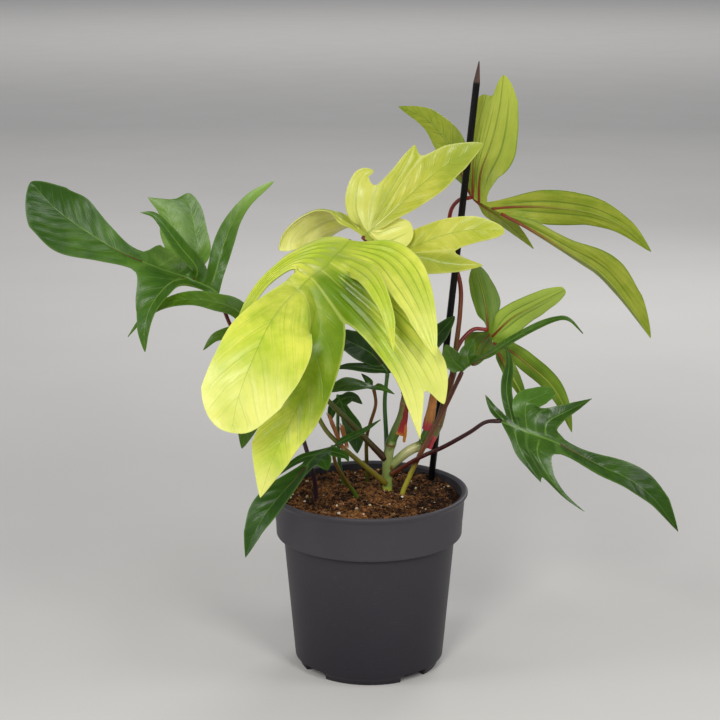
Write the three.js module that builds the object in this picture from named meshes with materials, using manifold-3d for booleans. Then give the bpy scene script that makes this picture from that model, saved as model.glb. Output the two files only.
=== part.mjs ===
// Potted philodendron: black nursery pot, peat, a support stick, one stem with a side shoot,
// and twelve lobed leaves on their petioles. Millimetres, +Z up, origin under the pot's centre.
import * as THREE from 'three';
import { mergeVertices } from 'three/addons/utils/BufferGeometryUtils.js';
import Module from 'manifold-3d';

const wasm = await Module();
wasm.setup();

// ---------------------------------------------------------------- driving dimensions
const POT = {
  height: 138, rimR: 75, rimBead: 3, collarTopR: 72.6, collarLowR: 70.8, collarLowZ: 110,
  bodyTopR: 65.2, bodyTopZ: 101, bodyLowR: 57, bodyLowZ: 7, footR: 53, wall: 1.6,
  floor: 2.4, discR: 36, channel: 3.6, notches: 4, notchWidth: 23, holeR: 4, segments: 36,
};
const SOIL = { level: 125.5, mound: 4.5, gap: 0.35, segments: 36 };
const STAKE = { entry: [48, 38, 127], top: [80, 20, 458], buried: 22, r: 2.6, point: 16 };
const BLADE = { thick: 0.8, ridge: 1.1, rows: 8, endRows: 10 };
const SEAM = 0.35;          // clearance between pieces that touch on the plant

// ---------------------------------------------------------------- small helpers
const V = (a) => new THREE.Vector3(a[0], a[1], a[2]);
const clamp01 = (t) => Math.min(1, Math.max(0, t));
const smooth = (t) => { const c = clamp01(t); return c * c * (3 - 2 * c); };
const spline = (pts) => new THREE.CatmullRomCurve3(pts, false, 'catmullrom', 0.5);

function weld(geometry) {
  const g = geometry.clone();
  for (const key of Object.keys(g.attributes)) if (key !== 'position') g.deleteAttribute(key);
  const merged = mergeVertices(g, 1e-3);
  const idx = merged.index.array, kept = [];
  for (let i = 0; i < idx.length; i += 3) {
    const [a, b, c] = [idx[i], idx[i + 1], idx[i + 2]];
    if (a !== b && b !== c && c !== a) kept.push(a, b, c);
  }
  merged.setIndex(kept);
  return merged;
}

function indexed(points, tris) {
  const g = new THREE.BufferGeometry();
  g.setAttribute('position', new THREE.Float32BufferAttribute(points.flatMap((p) => [p.x, p.y, p.z]), 3));
  g.setIndex(tris);
  return g;
}

function solid(geometry) {
  const g = weld(geometry);
  const mesh = new wasm.Mesh({
    numProp: 3, vertProperties: new Float32Array(g.attributes.position.array),
    triVerts: new Uint32Array(g.index.array),
  });
  return new wasm.Manifold(mesh);
}

function geometryOf(body) {
  const m = body.getMesh();
  const g = new THREE.BufferGeometry();
  g.setAttribute('position', new THREE.Float32BufferAttribute(Array.from(m.vertProperties), 3));
  g.setIndex(Array.from(m.triVerts));
  return g;
}

// where a surface only just touches itself, each side of it is drawn back by a hair
function parted(geometry) {
  geometry.computeVertexNormals();
  const { position: p, normal: n } = geometry.attributes, met = new Map();
  for (let i = 0; i < p.count; i++) {
    const key = [p.getX(i), p.getY(i), p.getZ(i)].map((x) => Math.round(x * 50)).join();
    met.set(key, [...(met.get(key) ?? []), i]);
  }
  for (const same of met.values()) {
    if (same.length < 2) continue;
    for (const i of same) {
      p.setXYZ(i, p.getX(i) - 0.05 * n.getX(i), p.getY(i) - 0.05 * n.getY(i), p.getZ(i) - 0.05 * n.getZ(i));
    }
  }
  return geometry;
}

// the biggest piece that a cut leaves
const biggest = (body) => body.decompose().reduce((a, b) => (a.volume() > b.volume() ? a : b));

// a round rod along points [x, y, z, radius], with a flat cap at both ends
function rod(points, { steps = 12, sides = 8, grow = 0, cut = 0 } = {}) {
  const curve = spline(points.map(V));
  const reach = 1 - cut / curve.getLength();
  const radius = spline(points.map((p, i) => new THREE.Vector3(i, p[3], 0)));
  const frames = curve.computeFrenetFrames(steps, false);
  const pts = [], tris = [];
  for (let i = 0; i <= steps; i++) {
    const u = (reach * i) / steps, c = curve.getPointAt(u), t = curve.getUtoTmapping(u);
    const r = radius.getPoint(t).y + grow;
    for (let k = 0; k < sides; k++) {
      const a = (2 * Math.PI * k) / sides;
      pts.push(c.clone().addScaledVector(frames.normals[i], r * Math.cos(a))
        .addScaledVector(frames.binormals[i], r * Math.sin(a)));
    }
  }
  for (let i = 0; i < steps; i++) {
    for (let k = 0; k < sides; k++) {
      const a = i * sides + k, b = i * sides + ((k + 1) % sides), c = a + sides, d = b + sides;
      tris.push(a, b, d, a, d, c);
    }
  }
  const first = pts.push(curve.getPointAt(0)) - 1, last = pts.push(curve.getPointAt(reach)) - 1;
  for (let k = 0; k < sides; k++) {
    const n = (k + 1) % sides;
    tris.push(first, n, k, last, steps * sides + k, steps * sides + n);
  }
  return indexed(pts, tris);
}

function lathe(profile, segments) {
  const g = weld(new THREE.LatheGeometry(profile.map((p) => new THREE.Vector2(p[0], p[1])), segments));
  g.rotateX(Math.PI / 2);
  return g;
}

// ---------------------------------------------------------------- lobed leaf blade
// A leaf has an end lobe, whose rib starts at the petiole, and side lobes that leave the first
// part of that rib (its palm). Each lobe is a strip of cross-sections along its own rib, with
// half-widths at even stations, one list for both edges or one for each: [near, far]. The first
// rows of neighbouring lobes share their edge: that is the web, and the sinus follows it.
// `crowd` draws the lobes' feet towards the petiole, and `flare` is the share of a lobe's length
// over which it widens from its foot.
function lobeOf(spec, side, face) {
  const pair = (x) => (Array.isArray(x) ? x : [x, x]);
  return {
    side, spec, n0: V(spec.from ?? face).normalize(), n1: V(spec.face ?? face).normalize(),
    w: Array.isArray(spec.w[0]) ? spec.w : [spec.w, spec.w], tip: spec.tip ?? 0.8,
    cup: pair(spec.cup ?? 0.12), wave: spec.wave ?? [0, 1, 0],
  };
}

function halfWidth(lobe, s, v) {
  const w = lobe.w[v < 0 ? 0 : 1], n = w.length, x = s * n, i = Math.floor(x);
  if (i >= n - 1) return w[n - 1] * Math.max(0, n - x) ** lobe.tip;
  const [a, b, c, d] = [w[Math.max(0, i - 1)], w[i], w[i + 1], w[Math.min(n - 1, i + 2)]], t = x - i;
  return b + 0.5 * t * (c - a + t * (2 * a - 5 * b + 4 * c - d + t * (3 * (b - c) + d - a)));
}

function section(lobe, s, v) {
  const c = lobe.curve.getPointAt(lobe.s0 + (1 - lobe.s0) * s);
  const t = lobe.curve.getTangentAt(lobe.s0 + (1 - lobe.s0) * s);
  const n = lobe.n0.clone().lerp(lobe.n1, s);
  n.addScaledVector(t, -n.dot(t)).normalize();
  const d = lobe.side === 'right' ? n.clone().cross(t) : t.clone().cross(n);
  const w = halfWidth(lobe, s, v), [amp, freq, phase] = lobe.wave;
  const lift = lobe.cup[v < 0 ? 0 : 1] * w * Math.abs(v) ** 1.5
    + amp * w * v * v * Math.sin(2 * Math.PI * (freq * s) + phase + (v < 0 ? 1.7 : 0)) * smooth(s * 3);
  const blend = lobe.side === 'end' ? 1 : smooth(s / (lobe.spec.flare ?? 0.3));
  const p = d.multiplyScalar(w * v).addScaledVector(n, lift).multiplyScalar(blend);
  if (lobe.root) p.addScaledVector(lobe.root((v + 1) / 2), 1 - blend);
  return p.add(c);
}

function leafBlade(spec, { rows = BLADE.rows, endRows = BLADE.endRows, thick = BLADE.thick } = {}) {
  const face = spec.face, zero = new THREE.Vector3();
  const endCurve = spline([zero, ...spec.end.rib.map(V)]);
  const left = spec.left ?? [], right = spec.right ?? [];
  const span = (list) => list.reduce((n, l) => n + l.span, 0);
  const cols = Math.max(span(left), span(right));
  const palm = spec.palm ?? 0;
  const midrib = (k) => endCurve.getPointAt(cols ? palm * (k / cols) ** (spec.crowd ?? 1) : 0);

  const verts = [], extra = [];
  const put = (p, ridge) => { extra.push(ridge); return verts.push(p) - 1; };
  const mid = Array.from({ length: cols + 1 }, (_, k) => put(midrib(k), BLADE.ridge * 0.5));

  const build = (list, side) => {
    let start = 0;
    return list.map((l) => {
      const lobe = lobeOf(l, side, face), from = start, to = start + l.span;
      start = to;
      const centre = midrib((from + to) / 2);
      lobe.curve = spline([centre, ...l.rib.map(V)]);
      lobe.s0 = 0;
      lobe.cols = l.span;
      lobe.root = (q) => midrib(from + (to - from) * q).sub(centre);
      lobe.base = mid.slice(from, to + 1);
      lobe.rows = rows;
      lobe.web = Math.max(1, Math.round((l.web ?? 0.25) * rows));
      return lobe;
    });
  };
  const end = lobeOf(spec.end, 'end', face);
  end.curve = endCurve;
  end.s0 = palm;
  end.cols = spec.end.cols ?? 6;
  end.rows = endRows;
  end.base = Array(end.cols + 1).fill(mid[cols]);
  const L = build(left, 'left'), R = build(right, 'right');

  // rows are closer together near the tip; the first one sits at `first`
  const param = (lobe, r) => {
    const first = lobe.spec.first ?? 0.16;
    return r ? first + (1 - first) * (1 - (1 - (r - 1) / (lobe.rows - 1)) ** 1.3) : 0;
  };
  for (const lobe of [...L, ...R, end]) {
    lobe.grid = Array.from({ length: lobe.rows + 1 }, (_, r) =>
      Array.from({ length: lobe.cols + 1 }, (_, k) =>
        section(lobe, param(lobe, r), (2 * k) / lobe.cols - 1)));
  }
  // shared web edges: [lobe, column] pairs that meet, and how many rows they share
  const seams = [];
  const chain = (list, endColumn) => list.forEach((lobe, i) => {
    const next = list[i + 1];
    if (next) seams.push([lobe, lobe.cols, next, 0, lobe.web]);
    else if (span(list.map((l) => l.spec)) === cols) {
      seams.push([lobe, lobe.cols, end, endColumn, lobe.web]);
    }
  });
  chain(L, 0);
  chain(R, end.cols);
  for (const [a, ka, b, kb, web] of seams) {
    const shift = (lobe, k, r, other, amount) => {
      const own = lobe.grid[r][k], edge = k === 0 ? -1 : 1;
      const delta = other.clone().sub(own).multiplyScalar(amount);
      lobe.moves ??= [];
      lobe.moves.push([r, edge, delta]);
    };
    let last;
    for (let r = 1; r <= web; r++) {
      const pa = a.grid[r][ka], pb = b.grid[r][kb], m = pa.clone().add(pb).multiplyScalar(0.5);
      last = [m.clone().sub(pa), m.clone().sub(pb)];
      shift(a, ka, r, m, 1);
      shift(b, kb, r, m, 1);
    }
    if (!last) continue;
    for (const [lobe, k, d] of [[a, ka, last[0]], [b, kb, last[1]]]) {
      const sw = param(lobe, web), reach = Math.min(0.35, 1 - sw);
      for (let r = web + 1; r < lobe.rows; r++) {
        const fade = 1 - Math.sqrt(clamp01((param(lobe, r) - sw) / reach));
        if (fade > 0) shift(lobe, k, r, lobe.grid[r][k].clone().add(d), fade);
      }
    }
  }
  for (const lobe of [...L, ...R, end]) {
    for (const [r, edge, delta] of lobe.moves ?? []) {
      lobe.grid[r].forEach((p, k) => {
        const v = ((2 * k) / lobe.cols - 1) * edge;
        if (v > 0) p.addScaledVector(delta, v ** 1.4);
      });
    }
  }
  // vertex numbers, shared along the webs
  for (const lobe of [...L, ...R, end]) {
    lobe.id = Array.from({ length: lobe.rows + 1 }, () => Array(lobe.cols + 1).fill(-1));
    lobe.id[0] = lobe.base.slice();
    lobe.id[lobe.rows].fill(put(lobe.grid[lobe.rows][0], 0));
  }
  for (const [a, ka, b, kb, web] of seams) {
    for (let r = 1; r <= web; r++) a.id[r][ka] = b.id[r][kb] = put(a.grid[r][ka], 0);
  }
  const tris = [];
  for (const lobe of [...L, ...R, end]) {
    const first = tris.length;
    for (let r = 1; r < lobe.rows; r++) {
      for (let k = 0; k <= lobe.cols; k++) {
        const v = Math.abs((2 * k) / lobe.cols - 1), s = r / lobe.rows;
        const ridge = BLADE.ridge * (1 - s) * Math.max(0, 1 - 3 * v);
        if (lobe.id[r][k] < 0) lobe.id[r][k] = put(lobe.grid[r][k], ridge);
      }
    }
    for (let r = 0; r < lobe.rows; r++) {
      for (let k = 0; k < lobe.cols; k++) {
        let [a, b, c, d] = [lobe.id[r][k], lobe.id[r + 1][k], lobe.id[r + 1][k + 1], lobe.id[r][k + 1]];
        if (lobe.side !== 'right') [b, d] = [d, b];
        const half = k < lobe.cols / 2;
        const pair = half ? [[a, b, c], [a, c, d]] : [[a, b, d], [b, c, d]];
        for (const [i, j, l] of pair) if (i !== j && j !== l && l !== i) tris.push([i, j, l]);
      }
    }
    lobe.tris = tris.slice(first);
  }
  relax(verts, tris, spec.relax ?? 2);
  const normal = normals(verts, tris);
  const lobes = [...L, ...R, end].map((lobe) =>
    thicken(verts, lobe.tris, normal, extra, thick, V(spec.at)));
  return biggest(lobes.reduce((a, b) => a.add(b)));
}

// evens out the vertices inside the outline
function relax(verts, tris, rounds) {
  const near = verts.map(() => new Map());
  for (const t of tris) {
    for (let i = 0; i < 3; i++) {
      const a = t[i], b = t[(i + 1) % 3];
      near[a].set(b, (near[a].get(b) ?? 0) + 1);
      near[b].set(a, (near[b].get(a) ?? 0) + 1);
    }
  }
  const inner = near.map((m) => [...m.values()].every((n) => n === 2));
  for (let round = 0; round < rounds; round++) {
    const next = verts.map((p, i) => {
      if (!inner[i] || !near[i].size) return p;
      const mean = new THREE.Vector3();
      for (const j of near[i].keys()) mean.add(verts[j]);
      return p.clone().lerp(mean.divideScalar(near[i].size), 0.4);
    });
    next.forEach((p, i) => { verts[i] = p; });
  }
}

function normals(verts, tris) {
  const normal = verts.map(() => new THREE.Vector3());
  for (const [a, b, c] of tris) {
    const n = verts[b].clone().sub(verts[a]).cross(verts[c].clone().sub(verts[a]));
    for (const i of [a, b, c]) normal[i].add(n);
  }
  return normal.map((n) => n.normalize());
}

// one lobe as a closed solid: its top, its underside with the rib, and a wall all round
function thicken(verts, tris, normal, extra, thick, at) {
  const edges = new Map(), id = new Map(), used = [];
  for (const t of tris) {
    t.forEach((i, n) => {
      const j = t[(n + 1) % 3];
      if (!id.has(i)) id.set(i, used.push(i) - 1);
      if (!edges.delete(`${j},${i}`)) edges.set(`${i},${j}`, [i, j]);
    });
  }
  const count = used.length, out = [];
  const pts = [0, 1].flatMap((under) => used.map((i) => verts[i].clone().add(at)
    .addScaledVector(normal[i], under ? -thick / 2 - extra[i] : thick / 2)));
  for (const t of tris) {
    const [a, b, c] = t.map((i) => id.get(i));
    out.push(a, b, c, count + a, count + c, count + b);
  }
  for (const pair of edges.values()) {
    const [i, j] = pair.map((v) => id.get(v));
    // both sides of a shared wall are split along the same diagonal
    if (pair[0] < pair[1]) out.push(i, count + i, count + j, i, count + j, j);
    else out.push(i, count + i, j, j, count + i, count + j);
  }
  return solid(indexed(pts, out));
}

// ---------------------------------------------------------------- leaves (millimetres from `at`)
const LEAVES = {
  // the big lime leaf that hangs over the front of the pot
  front: {
    at: [-14, -25, 333], face: [-1, -6, 8], palm: 0.4, color: 0xa9cf3a,
    end: { rib: [[-14, -35, -9], [-32, -67, -19], [-52, -91, -37], [-66, -109, -64], [-75, -119, -88],
      [-79, -125, -109]], w: [[9, 31, 41, 40, 33], [5, 13, 23, 25, 26]], tip: 0.4, face: [-3, -9, 2],
      cup: 0.14, cols: 8 },
    left: [
      { rib: [[23, -25, -6], [38, -43, -16], [49, -61, -33], [55, -73, -50], [59, -79, -68]],
        w: [[9, 13, 16, 12, 7], [9, 12, 19, 19, 14]], face: [5, -8, 2], span: 4, web: 0.12 },
      { rib: [[8, -49, -11], [19, -71, -18], [27, -87, -36], [30, -93, -62]],
        w: [[6, 6, 6, 4, 3], [7, 12, 12, 9, 5]], tip: 1, face: [3, -8, 3], span: 2, web: 0.12 },
      { rib: [[13, -53, -35], [33, -59, -53], [56, -61, -79], [66, -61, -106]],
        w: [[7, 12, 17, 16, 11], [7, 9, 9, 10, 10]], tip: 0.7, face: [3, -9, 2], span: 2, web: 0.7 },
      { rib: [[1, -61, -34], [19, -69, -54], [38, -75, -87], [49, -75, -128]],
        w: [[7, 9, 11, 12, 9], [7, 8, 8, 6, 4]], tip: 1, face: [1, -9, 3], span: 2, web: 0.28,
        first: 0.1 },
      { rib: [[-21, -73, -44], [-21, -85, -61], [-31, -93, -91], [-49, -96, -129], [-62, -95, -164]],
        w: [[7, 15, 19, 19, 12], [7, 14, 18, 20, 20]], tip: 0.9, face: [-4, -8, 3], span: 2, web: 0.25,
        first: 0.08 },
    ],
    right: [
      { rib: [[-28, -25, -6], [-51, -50, -14], [-66, -67, -28], [-77, -75, -48], [-84, -77, -70]],
        w: [[12, 10, 7, 6, 4], [12, 10, 7, 6, 5]], face: [-8, -4, 3], span: 12, web: 0.12 },
    ],
  },
  // the pale leaf above it
  crown: {
    at: [-5, -5, 332], face: [-2, -6, 6], palm: 0.16, color: 0xc3d65c,
    end: { rib: [[13, -3, 12], [29, -5, 27], [50, -7, 46], [70, -8, 60], [87, -9, 70]],
      w: [[6, 12, 17, 16, 13], [6, 9, 14, 16, 11]], face: [-3, -8, 4], cols: 8 },
    left: [
      { rib: [[-13, 19, 14], [-31, 21, 18], [-46, 17, 12], [-58, 11, 1], [-62, 7, -11]],
        w: [[5, 9, 9, 7, 4], [6, 18, 32, 34, 26]], cup: [-0.2, -0.8], from: [-2, -2, 8], face: [-6, 5, 5],
        tip: 0.6, span: 4, web: 0.12 },
      { rib: [[-5, 5, 16], [-6, 9, 32], [-1, 13, 44], [8, 15, 47]],
        w: [[6, 7, 7, 6, 5], [6, 9, 10, 9, 6]], tip: 0.6, face: [0, -9, 2], span: 2, web: 0.5 },
      { rib: [[17, 1, 26], [26, 3, 43], [33, 5, 58], [38, 7, 67]],
        w: [[6, 9, 9, 7, 4], [6, 8, 8, 7, 5]], tip: 0.7, face: [-2, -9, 3], span: 2, web: 0.75 },
    ],
    right: [
      { rib: [[21, -7, -9], [42, -11, -13], [65, -17, -17], [87, -21, -17]],
        w: [[7, 15, 16, 12, 6], [7, 9, 8, 5, 4]], face: [0, -8, 5], span: 3, web: 0.6 },
      { rib: [[18, -3, -13], [38, -6, -7], [59, -13, 4], [79, -19, 9], [102, -23, 8]],
        w: [[7, 10, 13, 13, 10], [5, 8, 13, 12, 10]], tip: 0.45, face: [0, -8, 5], span: 2, web: 0.12 },
      { rib: [[13, -4, 1], [24, -5, 5], [36, -4, 9]],
        w: [[7, 14, 17, 14], [6, 9, 11, 9]], tip: 0.4, face: [0, -9, 4], span: 3, web: 0.12 },
    ],
  },
  // the leaf at the top right, seen from below
  top: {
    at: [76, 31, 356], face: [2, 9, 3], palm: 0.15, crowd: 2.8, color: 0x86b33a,
    end: { rib: [[20, -3, -10], [38, -6, -19], [56, -9, -29], [75, -13, -40], [97, -19, -54],
      [118, -25, -78], [134, -29, -101]], w: [[3, 5, 9, 11, 8], [3, 6, 9, 17, 13]],
      cup: [1.4, 0.1], face: [5, 8, 1], cols: 6 },
    left: [
      { rib: [[22, 11, -16], [37, 23, -30], [51, 31, -44]],
        w: [3, 7, 8, 5], face: [4, 5, 6], span: 2, web: 0.12 },
    ],
    right: [
      { rib: [[-8, 9, 20], [-17, 15, 40], [-32, 19, 57], [-54, 21, 66]],
        w: [5, 9, 12, 8], face: [3, 8, 1], span: 2, web: 0.12 },
      { rib: [[2, 3, 24], [5, 5, 50], [11, 7, 76]],
        w: [3, 4, 6, 7, 8], tip: 0.3, face: [0, 9, -1], span: 2, web: 0.85 },
      { rib: [[4, 1, 18], [11, 2, 38], [18, 2, 62], [23, 2, 91]],
        w: [[3, 4, 6, 8, 8], [5, 16, 23, 20, 15]], tip: 0.6, face: [-1, 9, 0], span: 2, web: 0.05,
        first: 0.03, flare: 0.14 },
      { rib: [[33, -5, -5], [66, -11, -6], [91, -17, -9], [113, -21, -19], [133, -23, -37]],
        w: [4, 11, 14, 12, 7], face: [2, 8, 4], span: 2, web: 0.3, first: 0.03 },
    ],
  },
  // the leaf below it on the same shoot, also seen from below
  mid: {
    at: [90, 30, 255], face: [2, 8, 4], palm: 0.2, color: 0x7ea63c,
    end: { rib: [[8, -2, -16], [16, -6, -30], [25, -10, -45], [31, -14, -60]],
      w: [3, 5, 6, 5, 3], face: [3, 8, 3], cols: 4 },
    left: [
      { rib: [[-4, 14, -14], [-7, 20, -25], [-9, 23, -34]],
        w: [4, 10, 12, 9], tip: 0.5, face: [0, 8, 4], span: 4, web: 0.12 },
    ],
    right: [
      { rib: [[-1, 3, 12], [-4, 7, 28], [-9, 11, 48]],
        w: [[2, 6, 8, 9, 8], [2, 7, 12, 11, 8]], tip: 0.5, face: [-1, 9, 1], span: 2, web: 0.1 },
      { rib: [[16, -6, 10], [32, -12, 21], [48, -16, 30], [56, -18, 35]],
        w: [[3, 9, 10, 10, 9], [3, 11, 14, 14, 11]], tip: 0.4, face: [-2, 8, 5], span: 2, web: 0.12 },
      { rib: [[17, -6, -15], [32, -12, -26], [47, -17, -38], [57, -20, -54], [64, -22, -75]],
        w: [3, 7, 9, 8, 5], face: [4, 8, 3], span: 2, web: 0.2 },
    ],
  },
  // narrow dark leaf inside the shoot
  inner: {
    at: [70, 12, 226], face: [0, -7, 7], palm: 0.1, color: 0x3d6b2c,
    end: { rib: [[9, -6, 9], [21, -10, 17], [33, -12, 26], [53, -14, 38], [68, -14, 44], [78, -14, 44],
      [89, -14, 33]], w: [2, 3, 3, 3, 2], face: [2, -5, 8], cols: 4 },
    left: [
      { rib: [[-6, -4, 9], [-13, -8, 23]],
        w: [4, 7, 7, 5], tip: 0.6, face: [-2, -9, 2], span: 2, web: 0.12 },
      { rib: [[4, 2, 13], [9, 4, 25]],
        w: [3, 6, 6, 4], tip: 0.6, face: [-1, -9, 2], span: 2, web: 0.12 },
    ],
  },
  // dark glossy leaf at the lower right
  low_right: {
    at: [96, -40, 202], face: [1, -6, 8], palm: 0.27, color: 0x2f6b33,
    end: { rib: [[19, -5, -7], [37, -10, -12], [55, -16, -20], [73, -21, -29], [92, -25, -37],
      [110, -27, -52], [128, -26, -76]], w: [[3, 3, 10, 13, 10], [4, 5, 8, 8, 4]], tip: 0.9,
      face: [3, -7, 5], cols: 6 },
    left: [
      { rib: [[-5, 6, 7], [-11, 10, 17]],
        w: [2, 3, 3, 2], face: [-3, -8, 2], span: 1, web: 0.12 },
      { rib: [[4, 4, 21], [6, 7, 43], [2, 8, 58]],
        w: [2, 3.5, 4, 4, 2], tip: 0.9, face: [-4, -8, 1], span: 1, web: 0.12 },
      { rib: [[17, -2, 13], [28, 2, 18], [39, 6, 21]],
        w: [4, 8, 9, 8], tip: 0.35, face: [0, -6, 7], span: 2, web: 0.35 },
      { rib: [[31, -7, 0], [44, -4, 6], [66, 0, 17]],
        w: [[4, 8, 7, 4], [3, 5, 5, 3]], tip: 1, face: [1, -6, 7], span: 2, web: 0.12 },
    ],
    right: [
      { rib: [[12, -12, -16], [20, -18, -29], [28, -22, -40]],
        w: [[3, 4, 4, 2], [4, 6, 5, 3]], tip: 1, face: [1, -7, 6], span: 3, web: 0.6 },
      { rib: [[24, -18, -18], [33, -26, -34], [45, -30, -49], [59, -32, -59]],
        w: [[4, 6, 4, 3, 2], [5, 7, 5, 3, 2]], tip: 1, face: [2, -7, 5], span: 3, web: 0.12 },
    ],
  },
  // dark leaf reaching out to the left
  left: {
    at: [-111, -12, 290], face: [0, -7, 7], palm: 0.37, color: 0x4f9a37,
    end: { rib: [[-18, -8, 12], [-40, -17, 22], [-57, -23, 31], [-74, -28, 41], [-93, -33, 55],
      [-111, -37, 70], [-127, -40, 89]], w: [[5, 6, 17, 27, 23], [4, 5, 13, 20, 16]], tip: 0.65,
      face: [-2, -7, 6], cols: 8 },
    left: [
      { rib: [[-32, -30, 15], [-44, -42, 2], [-49, -48, -14], [-49, -50, -31]],
        w: [[6, 8, 8, 7, 5], [8, 12, 12, 10, 6]], from: [-2, -6, 8], face: [-5, -7, 1],
        span: 8, web: 0.3 },
    ],
    right: [
      { rib: [[-1, 10, 20], [4, 16, 37], [11, 22, 53], [23, 27, 68], [40, 30, 80]],
        w: [4, 7, 8, 6, 4], tip: 0.6, face: [-4, -7, 1], span: 2, web: 0.1 },
      { rib: [[-13, -15, 22], [-24, -24, 39], [-33, -28, 53], [-42, -30, 64], [-52, -30, 66]],
        w: [4, 6, 6, 5, 3], face: [3, -8, 3], span: 2, web: 0.1 },
      { rib: [[-15, 4, 28], [-17, 10, 45], [-20, 15, 62], [-23, 18, 73]],
        w: [[4, 7, 9, 9, 8], [4, 7, 9, 9, 7]], tip: 0.45, face: [1, -9, 2], span: 2, web: 0.85 },
      { rib: [[-27, 2, 31], [-33, 8, 45], [-38, 14, 60], [-52, 17, 70]],
        w: [[4, 8, 9, 9, 8], [8, 13, 11, 9, 6]], tip: 0.9, face: [1, -9, 2], span: 2, web: 0.12 },
    ],
  },
  // dark leaf over the pot's rim at the lower left
  low_left: {
    at: [-27, -48, 185], face: [-2, -6, 7], palm: 0.22, color: 0x2f7a36,
    end: { rib: [[-11, -8, -4], [-24, -18, -16], [-40, -28, -32], [-53, -36, -49], [-62, -40, -71]],
      w: [[4, 6, 8, 8, 5], [4, 8, 13, 13, 8]], tip: 0.9, face: [-4, -8, 3], cols: 6 },
    left: [
      { rib: [[8, 2, 4], [22, 5, 10], [35, 8, 18]],
        w: [2, 3, 3, 2], face: [-3, -4, 8], span: 1, web: 0.12 },
      { rib: [[8, -8, -4], [12, -12, -8]],
        w: [2, 4, 3], face: [1, -8, 5], span: 1, web: 0.2 },
      { rib: [[-7, -20, -4], [-3, -26, -10]],
        w: [4, 7, 6], tip: 0.6, face: [0, -8, 5], span: 2, web: 0.2 },
    ],
    right: [
      { rib: [[-21, -8, -6], [-31, -12, -11], [-38, -14, -17]],
        w: [2, 3, 3, 2], face: [-3, -7, 5], span: 4, web: 0.12 },
    ],
  },
  // small dark leaves between the stems, under the front leaf
  shade_a: {
    at: [14, 26, 221.2], face: [0, -7, 7], palm: 0.12, color: 0x29452a,
    end: { rib: [[-12, -6, 17], [-29, -12, 28], [-44, -18, 36]],
      w: [5, 10, 11, 8], face: [-1, -8, 4], cols: 4 },
    left: [
      { rib: [[-13, -12, 7], [-29, -18, 10], [-40, -24, 10]],
        w: [2, 4, 4, 3], face: [0, -6, 7], span: 2, web: 0.12 },
    ],
    right: [
      { rib: [[18, -6, 13], [35, -11, 30], [50, -14, 48]],
        w: [2, 5, 8, 7], tip: 0.6, face: [0, -8, 4], span: 2, web: 0.12 },
    ],
  },
  shade_b: {
    at: [3, 12, 215], face: [0, -7, 7], palm: 0.12, color: 0x3a5c2c,
    end: { rib: [[-13, -6, 3], [-24, -10, 3], [-36, -14, -1]],
      w: [3, 5, 6, 4], face: [0, -7, 6], cols: 4 },
    left: [
      { rib: [[6, -8, 1], [16, -12, -3]],
        w: [2, 3, 2], face: [0, -6, 7], span: 2, web: 0.12 },
    ],
    right: [
      { rib: [[-4, 6, 3], [-9, 8, 8]],
        w: [2, 3, 2], face: [0, -7, 6], span: 2, web: 0.12 },
    ],
  },
  // dark leaf behind the front leaf
  back: {
    at: [-74, -28, 256], face: [-1, -6, 6], palm: 0.2, color: 0x3f7a34,
    end: { rib: [[-4, -20, -17], [-11, -32, -40], [-18, -36, -68]],
      w: [4, 9, 11, 8], face: [-3, -8, 2], cols: 4 },
    left: [
      { rib: [[13, -16, -17], [18, -22, -32]],
        w: [3, 7, 6], face: [0, -8, 4], span: 4, web: 0.2 },
    ],
    right: [
      { rib: [[-20, -6, 27], [-38, -8, 34], [-55, -11, 37], [-73, -16, 34], [-88, -21, 25], [-99, -25, 12]],
        w: [3, 6, 7, 6, 3], face: [-3, -6, 6], span: 2, web: 0.12 },
      { rib: [[-19, -16, 11], [-35, -24, 12], [-45, -28, 3]],
        w: [3, 6, 6, 4], face: [-3, -7, 4], span: 2, web: 0.15 },
    ],
  },
  hanging: {
    at: [-24, 28, 204], face: [1, -8, 3], palm: 0.15, color: 0x335c2b,
    end: { rib: [[6, -6, -13], [13, -11, -28], [15, -13, -43]],
      w: [3, 5, 7, 6], face: [1, -9, 1], cols: 4 },
    left: [
      { rib: [[11, 2, -2], [19, 3, -8]],
        w: [2, 4, 3], face: [0, -8, 3], span: 2, web: 0.12 },
    ],
    right: [
      { rib: [[-4, -4, -10], [-6, -6, -20]],
        w: [2, 4, 3], face: [0, -8, 3], span: 2, web: 0.12 },
    ],
  },
};

// dry leaf sheaths, folded round the stem they grew from
const SHEATHS = {
  red: { at: [25, 3.5, 180.5], face: [0, -9, 1], color: 0xa8372c,
    end: { rib: [[-1, -1, 11], [3, -2, 24]], w: [3, 5, 4, 2], cup: -0.5, face: [0, -9, 0], cols: 4 } },
  tan: { at: [46, 14, 181.4], face: [1, -9, 2], color: 0xb9763e,
    end: { rib: [[1, -1, 14], [3, -1, 33]], w: [4, 6, 6, 4], tip: 0.5, cup: -0.5, face: [1, -9, 1],
      cols: 4 } },
  dry: { at: [-20, -5.3, 174.8], face: [-1, -9, 3], color: 0xb5683a,
    end: { rib: [[-4, 0, 12], [-10, 1, 25]], w: [2, 4, 5, 3], cup: -0.4, face: [-1, -9, 2], cols: 4 } },
};

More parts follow.
